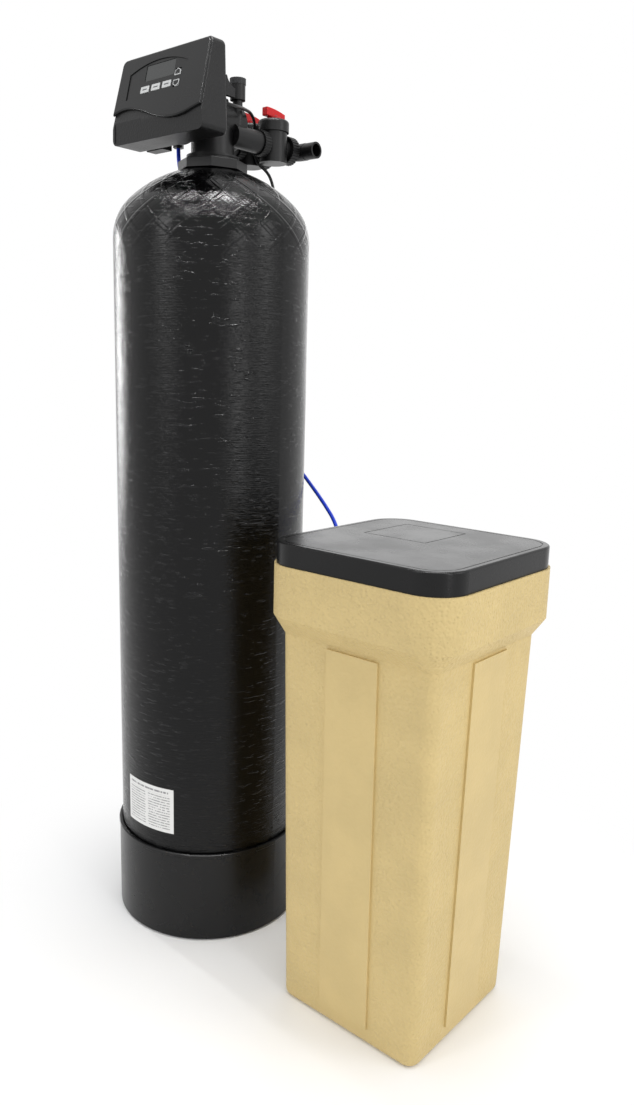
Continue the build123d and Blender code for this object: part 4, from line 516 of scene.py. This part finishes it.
@dataclass(frozen=True)
class WoundShell:
    """Glossy wound shell: hoop strands, crossing strands on the domes and glinting flecks, whose glint
    is partly a painted highlight that lightens the shell's colour.
    """

    name: str = "wound_shell"
    shoulder: float = 1.08
    dome_blend: float = 0.06
    hoop_loss: float = 0.8
    painted_glint_cover: float = 0.5
    roughness: float = 0.1
    gloss_gain: float = 0.04
    depth: float = 0.0006
    specular: float = 0.24

    def make(self, groups: Groups) -> bpy.types.Material:
        """Build the material.

        Args:
            groups: Shared node groups.

        Returns:
            The material.
        """
        material, tree, shader = start_material(self.name)
        winding = groups.place(tree, groups.winding)
        level = tree.add("SeparateXYZ")
        tree.link(tree.add("TexCoord").outputs["Object"], level.inputs[0])
        dome = tree.band(level.outputs["Z"], self.shoulder, self.shoulder + self.dome_blend)
        tree.link(dome, winding.inputs["Cross"])
        tree.link(tree.line(dome, -self.hoop_loss, 1.0), winding.inputs["Hoop"])
        glint = winding.outputs["Glint"]
        # Painted highlight: the glint specks lighten the shell's base colour towards a paler grey.
        colour = tree.blend(tree.sums("MULTIPLY", glint, self.painted_glint_cover), Shade.SHELL.value,
                            Shade.PAINTED_GLINT.value)
        tree.link(colour, shader.inputs["Base Color"])
        smooth = tree.line(tree.sums("MAXIMUM", glint, dome), -self.gloss_gain, self.roughness)
        tree.link(smooth, shader.inputs["Roughness"])
        relief(tree, shader, winding.outputs["Height"], self.depth)
        shader.inputs["Specular IOR Level"].default_value = self.specular
        return material


@dataclass(frozen=True)
class PebbledTub:
    """Rotation-moulded tub: strong pebbling on the collar and corners, finer on the panels."""

    name: str = "pebbled_tub"
    centre: tuple[float, float] = (0.4058, 0.002)
    panel_half: float = 0.0425
    panel_blend: float = 0.012
    collar_step: tuple[float, float] = (0.556, 0.575)
    corner_share: float = 0.75
    grain: float = 260.0
    pebble: float = 0.85
    marks: float = 0.5
    deep_share: float = 0.93
    streak_cover: float = 0.2
    streak_gain: float = 1.15
    roughness: float = 0.42
    strong_roughness: float = 0.1
    fine_share: float = 0.2
    strong_share: float = 0.8
    depth: float = 0.0026
    specular: float = 0.35

    def make(self, groups: Groups) -> bpy.types.Material:
        """Build the material.

        Args:
            groups: Shared node groups.

        Returns:
            The material.
        """
        material, tree, shader = start_material(self.name)
        place = tree.add("SeparateXYZ")
        tree.link(tree.add("TexCoord").outputs["Object"], place.inputs[0])
        away = [tree.sums("ABSOLUTE", tree.sums("SUBTRACT", place.outputs[axis], middle))
                for axis, middle in zip("XY", self.centre)]
        side = tree.sums("MINIMUM", away[0], away[1])
        corner = tree.band(side, self.panel_half, self.panel_half + self.panel_blend)
        collar = tree.band(place.outputs["Z"], *self.collar_step)
        strong = tree.sums("MAXIMUM", tree.sums("MULTIPLY", corner, self.corner_share), collar)
        grain = groups.place(tree, groups.grain, Scale=self.grain, Pebble=self.pebble)
        marks = groups.place(tree, groups.scuff, Amount=self.marks)
        base = Shade.TUB.value
        deep = tuple(channel * self.deep_share for channel in base)
        pale = tuple(min(1.0, channel * self.streak_gain) for channel in base)
        colour = tree.blend(grain.outputs["Mottle"], deep, base)
        cover = tree.sums("MULTIPLY", marks.outputs["Streak"], self.streak_cover)
        colour = tree.blend(cover, colour, pale)
        tree.link(colour, shader.inputs["Base Color"])
        tree.link(tree.line(strong, self.strong_roughness, self.roughness),
                  shader.inputs["Roughness"])
        height = tree.sums("MULTIPLY", grain.outputs["Height"],
                           tree.line(strong, self.strong_share, self.fine_share))
        relief(tree, shader, height, self.depth)
        shader.inputs["Specular IOR Level"].default_value = self.specular
        return material


@dataclass(frozen=True)
class PrintedLabel:
    """White film with rows of grey bars in two columns, placed by angle and height."""

    name: str = "printed_label"
    rows: float = 17.0
    azimuth: float = -84.6
    span: float = 37.97
    low: float = 0.1845
    high: float = 0.261
    bar: Edges = (0.26, 0.34, 0.62, 0.7)
    words_across: float = 46.0
    row_shift: float = 7.3
    word_step: tuple[float, float] = (0.40, 0.46)
    left_column: Edges = (0.05, 0.06, 0.44, 0.45)
    right_column: Edges = (0.50, 0.51, 0.92, 0.94)
    body_rise: Edges = (0.07, 0.08, 0.84, 0.85)
    head_rise: Edges = (0.885, 0.89, 0.925, 0.93)
    head_span: Edges = (0.06, 0.07, 0.90, 0.91)
    grain: float = 1500.0
    pebble: float = 0.2
    deep_share: float = 0.96
    roughness: float = 0.5
    ink_gloss: float = 0.08

    def make(self, groups: Groups) -> bpy.types.Material:
        """Build the material.

        Args:
            groups: Shared node groups.

        Returns:
            The material.
        """
        material, tree, shader = start_material(self.name)
        spot = tree.add("SeparateXYZ")
        tree.link(tree.add("TexCoord").outputs["Object"], spot.inputs[0])
        turn = tree.sums("ARCTAN2", spot.outputs["Y"], spot.outputs["X"])
        span = math.radians(self.span)
        start = math.radians(self.azimuth) - span / 2
        across = tree.line(turn, 1.0 / span, -start / span)
        tall = self.high - self.low
        up = tree.line(spot.outputs["Z"], 1.0 / tall, -self.low / tall)
        row = tree.sums("MULTIPLY", up, self.rows)
        line = tree.sums("FRACT", row)
        number = tree.sums("FLOOR", row)
        bars = tree.window(line, self.bar)
        place = tree.add("CombineXYZ")
        tree.link(tree.sums("MULTIPLY", across, self.words_across), place.inputs["X"])
        tree.link(tree.sums("MULTIPLY", number, self.row_shift), place.inputs["Y"])
        words = tree.add("TexNoise", Scale=1.0, Detail=1.0)
        tree.link(place.outputs[0], words.inputs["Vector"])
        text = tree.band(words.outputs["Fac"], *self.word_step)
        columns = tree.sums("ADD", tree.window(across, self.left_column),
                            tree.window(across, self.right_column))
        body = tree.sums("MULTIPLY", columns, tree.window(up, self.body_rise))
        head = tree.sums("MULTIPLY", tree.window(up, self.head_rise),
                         tree.window(across, self.head_span))
        ink = tree.sums("MULTIPLY", tree.sums("MULTIPLY", bars, text), body)
        ink = tree.sums("MAXIMUM", ink, tree.sums("MULTIPLY", head, text))
        grain = groups.place(tree, groups.grain, Scale=self.grain, Pebble=self.pebble)
        base = Shade.LABEL.value
        paper = tree.blend(grain.outputs["Mottle"],
                           tuple(channel * self.deep_share for channel in base), base)
        tree.link(tree.blend(ink, paper, Shade.PRINT.value), shader.inputs["Base Color"])
        tree.link(tree.line(ink, -self.ink_gloss, self.roughness), shader.inputs["Roughness"])
        return material


@dataclass(frozen=True)
class ClearLens:
    """Dark glossy window with a slight haze; its colour is raised above its own tint as a painted
    reflection, and the haze adds more painted sheen.
    """

    name: str = "clear_lens"
    marks: float = 0.6
    roughness: float = 0.12
    streak_roughness: float = 0.2

    def make(self, groups: Groups) -> bpy.types.Material:
        """Build the material.

        Args:
            groups: Shared node groups.

        Returns:
            The material.
        """
        material, tree, shader = start_material(self.name)
        marks = groups.place(tree, groups.scuff, Amount=self.marks)
        # Painted reflection: the lens colour and its haze are lighter than the dark window, standing
        # in for light reflected off the slanted cover.
        tree.link(tree.blend(marks.outputs["Film"], Shade.LENS_TINT_AND_SHEEN.value, Shade.HAZE_AND_SHEEN.value),
                  shader.inputs["Base Color"])
        tree.link(tree.line(marks.outputs["Streak"], self.streak_roughness, self.roughness),
                  shader.inputs["Roughness"])
        return material


SLOT_FINISHES = {
    "tank_shell": WoundShell(),
    "boot_black": Moulded("boot_plastic", Shade.BOOT, roughness=0.27, grain=700.0),
    "label_white": PrintedLabel(),
    "valve_black": Moulded("valve_plastic", Shade.VALVE, roughness=0.38, grain=1100.0),
    "head_black": Moulded("head_plastic", Shade.HEAD, roughness=0.36, grain=420.0, pebble=0.7,
                          depth=0.00035),
    "panel_grey": Moulded("cover_plastic", Shade.PANEL, roughness=0.3, grain=1500.0,
                          depth=0.00004),
    "lens_dark": ClearLens(),
    "key_white": Moulded("key_plastic", Shade.KEY, roughness=0.45),
    "board_green": Moulded("board_resin", Shade.BOARD, roughness=0.35),
    "gear_white": Moulded("gear_nylon", Shade.IVORY, roughness=0.45),
    "motor_steel": Moulded("motor_steel", Shade.STEEL, roughness=0.35, metallic=1.0),
    "screw_steel": Moulded("screw_steel", Shade.STEEL, roughness=0.3, metallic=1.0),
    "stack_grey": Moulded("stack_plastic", Shade.GREY, roughness=0.4),
    "seal_rubber": Moulded("seal_rubber", Shade.LEAD, roughness=0.6),
    "cap_grey": Moulded("cap_plastic", Shade.CAP, roughness=0.42),
    "handle_red": Moulded("handle_plastic", Shade.RED, roughness=0.3, marks=0.2),
    "pipe_white": Moulded("pipe_plastic", Shade.VALVE, roughness=0.36),
    "riser_white": Moulded("riser_plastic", Shade.IVORY, roughness=0.4),
    "resin_amber": Moulded("resin_beads", Shade.AMBER, roughness=0.4, grain=1600.0, pebble=1.0,
                           depth=0.0003),
    "gravel_grey": Moulded("gravel_stones", Shade.STONE, roughness=0.7, grain=260.0, pebble=1.0,
                           depth=0.002),
    "tub_tan": PebbledTub(),
    "lid_black": Moulded("lid_plastic", Shade.LID, roughness=0.27, grain=620.0, pebble=0.6,
                         depth=0.0001, specular=0.26),
    "well_white": Moulded("well_plastic", Shade.IVORY, roughness=0.4),
    "line_blue": Moulded("line_tube", Shade.LINE, roughness=0.32, grain=2000.0),
    "lead_black": Moulded("lead_sheath", Shade.LEAD, roughness=0.42, grain=2000.0),
}


def dress(obj: bpy.types.Object, material: bpy.types.Material) -> None:
    """Give every face of an object one material.

    Args:
        obj: Object to dress.
        material: Material for all its slots.
    """
    if not obj.data.materials:
        obj.data.materials.append(material)
    for slot in obj.material_slots:
        slot.material = material


@dataclass
class Cords:
    """Brine line and power lead, as smooth splines on the points of the CAD routes."""

    line_radius: float = 0.0032
    lead_radius: float = 0.0024
    coil_centre: tuple[float, float] = (-0.114, 0.176)
    coil_radius: float = 0.0264
    coil_start: float = 60.0
    coil_turns: float = 2.25
    coil_low: float = 0.00245
    coil_pitch: float = 0.0056
    coil_tail: float = 0.033
    turn_points: int = 12
    round_steps: int = 6
    span_steps: int = 10
    line_points: tuple[Point, ...] = (
        (-0.082, 0.002, 1.266), (-0.082, 0.002, 1.243), (-0.087, 0.015, 1.222), (-0.096, 0.044, 1.207),
        (-0.101, 0.077, 1.19), (-0.104, 0.108, 1.16), (-0.103, 0.128, 1.118), (-0.099, 0.138, 1.055),
        (-0.092, 0.144, 0.985), (-0.079, 0.151, 0.915), (-0.056, 0.162, 0.851), (-0.022, 0.173, 0.801),
        (0.022, 0.174, 0.768), (0.067, 0.16, 0.742), (0.122, 0.141, 0.71), (0.174, 0.117, 0.68),
        (0.203, 0.088, 0.655), (0.228, 0.088, 0.655))
    lead_points: tuple[Point, ...] = (
        (0.084, -0.053, 1.296), (0.084, -0.034, 1.296), (0.066, -0.006, 1.303), (0.047, 0.022, 1.309),
        (0.03, 0.052, 1.313), (0.016, 0.075, 1.306), (0.002, 0.087, 1.281), (0.0, 0.094, 1.252),
        (0.008, 0.114, 1.24), (0.012, 0.122, 1.222), (0.011, 0.128, 1.202), (0.009, 0.138, 1.178),
        (0.007, 0.149, 1.152), (0.005, 0.158, 1.118), (0.004, 0.161, 1.06), (0.002, 0.162, 0.992),
        (0.001, 0.163, 0.924), (-0.002, 0.163, 0.856), (-0.004, 0.162, 0.788), (-0.008, 0.162, 0.72),
        (-0.011, 0.163, 0.652), (-0.016, 0.163, 0.584), (-0.021, 0.164, 0.516), (-0.027, 0.164, 0.448),
        (-0.033, 0.165, 0.38), (-0.04, 0.165, 0.312), (-0.046, 0.166, 0.248), (-0.051, 0.168, 0.188),
        (-0.055, 0.171, 0.13), (-0.059, 0.175, 0.074), (-0.0641, 0.1777, 0.0343),
        (-0.08002, 0.18686, 0.01587))

    def coil_points(self) -> list[Point]:
        """Control points of the coil and of its tail.

        A point stands at the coil's radius over the cosine of half a step, so that the spline,
        which passes inside its points, runs at the coil's radius. It sinks by the pitch each turn.

        Returns:
            The points in order.
        """
        steps = int(self.coil_turns * self.turn_points)
        step = 360.0 / self.turn_points
        number = np.arange(steps + 1)
        turn = np.radians(self.coil_start + step * number)
        reach = np.full(steps + 1, self.coil_radius / math.cos(math.radians(step / 2)))
        reach[-1] = self.coil_radius
        level = self.coil_low + self.coil_pitch * (steps - number) / self.turn_points
        points = np.stack([self.coil_centre[0] + reach * np.cos(turn),
                           self.coil_centre[1] + reach * np.sin(turn), level], axis=1)
        way = np.array([-math.sin(turn[-1]), math.cos(turn[-1]), 0.0])
        tail = points[-1] + way * self.coil_tail
        return [tuple(point) for point in points] + [tuple(tail)]

    def spline(self, name: str, points: list[Point], radius: float) -> bpy.types.Object:
        """Round curve on one open spline.

        Args:
            name: Object's name.
            points: Control points in metres.
            radius: Cord's radius.

        Returns:
            The curve object.
        """
        curve = bpy.data.curves.new(name, "CURVE")
        curve.dimensions = "3D"
        curve.bevel_depth = radius
        curve.bevel_resolution = self.round_steps
        curve.resolution_u = self.span_steps
        curve.use_fill_caps = True
        spline = curve.splines.new("NURBS")
        spline.points.add(len(points) - 1)
        flat = np.hstack([np.array(points), np.ones((len(points), 1))]).ravel()
        spline.points.foreach_set("co", flat)
        spline.order_u = 3
        spline.use_endpoint_u = True
        piece = bpy.data.objects.new(name, curve)
        bpy.context.scene.collection.objects.link(piece)
        return piece

    def build(self, finishes: dict[str, bpy.types.Material]) -> None:
        """Args:
            finishes: Materials by slot.
        """
        line = self.spline("brine_tube", list(self.line_points), self.line_radius)
        dress(line, finishes["line_blue"])
        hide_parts("brine_line")
        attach(line, "softener")
        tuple(self.line_points[0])
        lead = self.spline("power_cable", list(self.lead_points) + self.coil_points(),
                           self.lead_radius)
        dress(lead, finishes["lead_black"])
        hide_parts("power_lead", "lead_coil")
        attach(lead, "softener")
        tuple(self.lead_points[0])
        LOG.info("cords built")


def new_piece(name: str, points: np.ndarray, faces: list[tuple[int, ...]],
              material: bpy.types.Material, body: str) -> bpy.types.Object:
    """Mesh object at the origin that rides on a body.

    Args:
        name: Object's name.
        points: Its points in metres, one to a row.
        faces: Corner numbers of each face, anticlockwise from outside.
        material: Its material.
        body: Body it moves with.

    Returns:
        The object.
    """
    mesh = bpy.data.meshes.new(name)
    mesh.from_pydata(points.tolist(), [], faces)
    mesh.validate()
    piece = bpy.data.objects.new(name, mesh)
    bpy.context.scene.collection.objects.link(piece)
    dress(piece, material)
    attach(piece, body)
    return piece


def plate(outline: np.ndarray, low: float, high: float,
          to_space: Callable[[np.ndarray, float], np.ndarray],
          ) -> tuple[np.ndarray, list[tuple[int, ...]]]:
    """Flat plate of an outline between two offsets along its plane's normal.

    Args:
        outline: Corners, anticlockwise seen from the normal's side.
        low: Offset of the under face.
        high: Offset of the outer face.
        to_space: Function from corners and an offset to points in space.

    Returns:
        The points and the faces.
    """
    count = len(outline)
    points = np.vstack([to_space(outline, low), to_space(outline, high)])
    sides = [(k, (k + 1) % count, (k + 1) % count + count, k + count) for k in range(count)]
    return points, sides + [tuple(range(count - 1, -1, -1)), tuple(range(count, 2 * count))]


@dataclass
class ArrowInlays:
    """Black centres of the two arrow keys, which leave a white outline round them."""

    across: float = 0.0375
    rises: tuple[float, float] = (0.0488, 0.0322)
    width: float = 0.0124
    height: float = 0.0096
    point_share: float = 0.36
    border: float = 0.0012
    neck_share: float = 0.4
    front: float = 0.0004
    thickness: float = 0.00015
    plane_y: float = -0.1145
    plane_z: float = 1.287
    lean: tuple[float, float] = (0.2504, 0.9682)

    def to_space(self, outline: np.ndarray, offset: float) -> np.ndarray:
        """Points of the cover's slanted plane.

        Args:
            outline: Places across and up the plane.
            offset: Distance out of the plane.

        Returns:
            The points.
        """
        sine, cosine = self.lean
        return np.stack([outline[:, 0], self.plane_y + sine * outline[:, 1] - cosine * offset,
                         self.plane_z + cosine * outline[:, 1] + sine * offset], axis=1)

    def outline(self, way: int) -> np.ndarray:
        """Corners of one inlay: the key's house shape drawn in by the border.

        Args:
            way: 1 for the arrow that points up, -1 for the other.

        Returns:
            The corners, anticlockwise.
        """
        half, tall = self.width / 2 - self.border, self.height / 2 - self.border
        neck = self.height * (0.5 - self.point_share) - self.border * self.neck_share
        corners = np.array([(-half, -tall), (half, -tall), (half, neck), (0.0, tall),
                            (-half, neck)])
        return corners if way > 0 else (corners * (1, -1))[::-1]

    def build(self, finishes: dict[str, bpy.types.Material]) -> None:
        """Make both inlays.

        Args:
            finishes: Materials by slot.
        """
        for name, rise, way in (("up", self.rises[0], 1), ("down", self.rises[1], -1)):
            corners = self.outline(way) + (self.across, rise)
            points, faces = plate(corners, -self.front - self.thickness,
                                  self.thickness - self.front, self.to_space)
            new_piece(f"arrow_centre_{name}", points, faces, finishes["panel_grey"], f"key_{name}")
        LOG.info("arrow centres built")


@dataclass
class KeyMarks:
    """Plain grey bar printed on each of the three white keys."""

    centres: tuple[float, ...] = (-0.0315, -0.0073, 0.0168)
    rise: float = 0.0343
    half: tuple[float, float] = (0.0048, 0.0009)
    thickness: float = 0.0001

    def build(self, arrows: ArrowInlays, finishes: dict[str, bpy.types.Material]) -> None:
        """Make the three bars, each riding on its key.

        Args:
            arrows: Arrow keys' inlays, which know the cover's plane.
            finishes: Materials by slot.
        """
        wide, tall = self.half
        corners = np.array([(-wide, -tall), (wide, -tall), (wide, tall), (-wide, tall)])
        for name, centre in zip(("left", "middle", "right"), self.centres):
            points, faces = plate(corners + (centre, self.rise), -arrows.front - self.thickness,
                                  self.thickness - arrows.front, arrows.to_space)
            new_piece(f"key_mark_{name}", points, faces, finishes["stack_grey"], f"key_{name}")
        LOG.info("key marks built")


@dataclass(frozen=True)
class Lamp:
    """Soft rectangular lamp.

    A lamp with a turn faces down and shows only in reflections. Its turn is the angle in degrees
    from the Y axis to its long side.
    """

    name: str
    place: Point
    aim: Point
    size: tuple[float, float]
    power: float
    turn: float | None = None

    def build(self) -> None:
        """Add the lamp."""
        data = bpy.data.lights.new(self.name, "AREA")
        data.shape = "RECTANGLE"
        data.size, data.size_y = self.size
        data.energy = self.power
        lamp = bpy.data.objects.new(self.name, data)
        lamp.location = self.place
        lamp.visible_camera = False
        if self.turn is None:
            way = Vector(self.aim) - Vector(self.place)
            lamp.rotation_euler = way.to_track_quat("-Z", "Y").to_euler()
        else:
            lamp.rotation_euler = (0.0, 0.0, math.radians(self.turn))
            lamp.visible_diffuse = False
        bpy.context.scene.collection.objects.link(lamp)


TUBE_TURN = -49.7
LAMPS = (
    Lamp("edge_left", (-2.1, -0.05, 0.98), (0.0, 0.0, 0.98), (0.09, 1.0), 12.0),
    Lamp("band_right", (2.1, -0.48, 1.0), (0.0, 0.0, 1.0), (0.3, 1.1), 6.0),
    Lamp("front_soft", (-0.4, -2.6, 1.9), (0.1, 0.0, 0.6), (0.4, 1.6), 12.0),
    Lamp("side_soft", (2.9, 1.0, 1.9), (0.3, 0.0, 0.4), (1.0, 1.6), 16.0),
    Lamp("tube_rear", (0.25, -0.25, 3.1), (0.0, 0.0, 1.0), (0.04, 2.8), 55.0, TUBE_TURN),
    Lamp("tube_front", (1.1, -1.1, 2.9), (0.0, 0.0, 1.0), (0.04, 2.8), 45.0, TUBE_TURN),
    Lamp("lid_shine", (-1.0, 2.07, 1.25), (0.4, 0.0, 0.7), (1.8, 0.8), 2.2),
    Lamp("over_soft", (0.5, -0.1, 3.3), (0.35, 0.0, 0.5), (1.0, 1.0), 26.0),
)


@dataclass
class Studio:
    """Pale floor, white surroundings, soft lamps and the camera at the photograph's angle."""

    camera_place: Point = (1.0887, -1.0106, 0.9355)
    yaw: float = -40.27
    pitch: float = 11.83
    roll: float = 1.61
    lens: float = 29.23
    sensor_width: float = 36.0
    clip_end: float = 40.0
    floor_centre: Point = (0.2, 0.02, 0.0)
    floor_half: float = 9.0
    floor_level: float = -0.0004
    floor_roughness: float = 0.7
    shadow_near: float = 0.3
    shadow_far: float = 0.75
    room_level: float = 0.75

    def camera(self) -> None:
        """Set the camera from its yaw, its pitch down and its roll."""
        yaw, pitch, roll = (math.radians(value) for value in (self.yaw, self.pitch, self.roll))
        ahead = Vector((math.sin(yaw) * math.cos(pitch), math.cos(yaw) * math.cos(pitch),
                        -math.sin(pitch)))
        level = Vector((math.cos(yaw), -math.sin(yaw), 0.0))
        over = level.cross(ahead)
        right = level * math.cos(roll) + over * math.sin(roll)
        up = over * math.cos(roll) - level * math.sin(roll)
        turn = Matrix((right, up, -ahead)).transposed()
        data = bpy.data.cameras.new("camera")
        data.lens = self.lens
        data.sensor_width = self.sensor_width
        data.sensor_fit = "AUTO"
        data.clip_end = self.clip_end
        eye = bpy.data.objects.new("camera", data)
        eye.matrix_world = Matrix.Translation(self.camera_place) @ turn.to_4x4()
        bpy.context.scene.collection.objects.link(eye)
        bpy.context.scene.camera = eye

    def background_rays(self, tree: Tree) -> bpy.types.NodeSocket:
        """Mask of the rays that see the background, straight, mirrored or through glass.

        Args:
            tree: Tree of the floor's material or of the world.

        Returns:
            The socket, 1 for such a ray.
        """
        path = tree.add("LightPath")
        mirrored = tree.sums("MAXIMUM", path.outputs["Is Glossy Ray"],
                             path.outputs["Is Transmission Ray"])
        return tree.sums("MAXIMUM", path.outputs["Is Camera Ray"], mirrored)

    def floor(self) -> None:
        """Lay the pale floor, which shows white away from the object's shadow."""
        mesh = bpy.data.meshes.new("floor")
        corners = ((-1.0, -1.0), (1.0, -1.0), (1.0, 1.0), (-1.0, 1.0))
        mesh.from_pydata([(x * self.floor_half, y * self.floor_half, self.floor_level)
                          for x, y in corners], [], [(0, 1, 2, 3)])
        floor = bpy.data.objects.new("floor", mesh)
        bpy.context.scene.collection.objects.link(floor)
        material, tree, shader = start_material("floor_white")
        shader.inputs["Roughness"].default_value = self.floor_roughness
        shader.inputs["Base Color"].default_value = (*Shade.FLOOR.value, 1.0)
        away = tree.add("VectorMath", operation="DISTANCE")
        tree.link(tree.add("TexCoord").outputs["Object"], away.inputs[0])
        away.inputs[1].default_value = self.floor_centre
        far = tree.band(away.outputs["Value"], self.shadow_near, self.shadow_far)
        seen = tree.sums("MULTIPLY", self.background_rays(tree), far)
        white = tree.add("Emission", Strength=1.0)
        mix = tree.add("MixShader")
        tree.link(seen, mix.inputs[0])
        tree.link(shader.outputs[0], mix.inputs[1])
        tree.link(white.outputs[0], mix.inputs[2])
        tree.link(mix.outputs[0], material.node_tree.nodes["Material Output"].inputs["Surface"])
        dress(floor, material)

    def world(self) -> None:
        """White surroundings for the background's rays and a level soft light for the others."""
        world = bpy.data.worlds.new("studio")
        world.use_nodes = True
        tree = Tree(world.node_tree)
        shader = world.node_tree.nodes["Background"]
        shader.inputs["Color"].default_value = (1.0, 1.0, 1.0, 1.0)
        tree.link(tree.sums("MAXIMUM", self.background_rays(tree), self.room_level),
                  shader.inputs["Strength"])
        bpy.context.scene.world = world

    def build(self) -> None:
        """Set up the studio."""
        self.camera()
        self.floor()
        self.world()
        for lamp in LAMPS:
            lamp.build()
        bpy.context.scene.view_settings.view_transform = "Standard"
        LOG.info("studio built")


def main() -> None:
    """Build the dressed softener in order and report each part of it."""
    logging.basicConfig(level=logging.INFO, format="%(name)s: %(message)s")
    groups = Groups()
    finishes = {slot: finish.make(groups) for slot, finish in SLOT_FINISHES.items()}
    for part in frame["record"]["subparts"]:
        dress(bpy.data.objects[part["node"]], finishes[part["material_slot"]])
    arrows = ArrowInlays()
    arrows.build(finishes)
    KeyMarks().build(arrows, finishes)
    Cords().build(finishes)
    Studio().build()


if __name__ == "__main__":
    main()
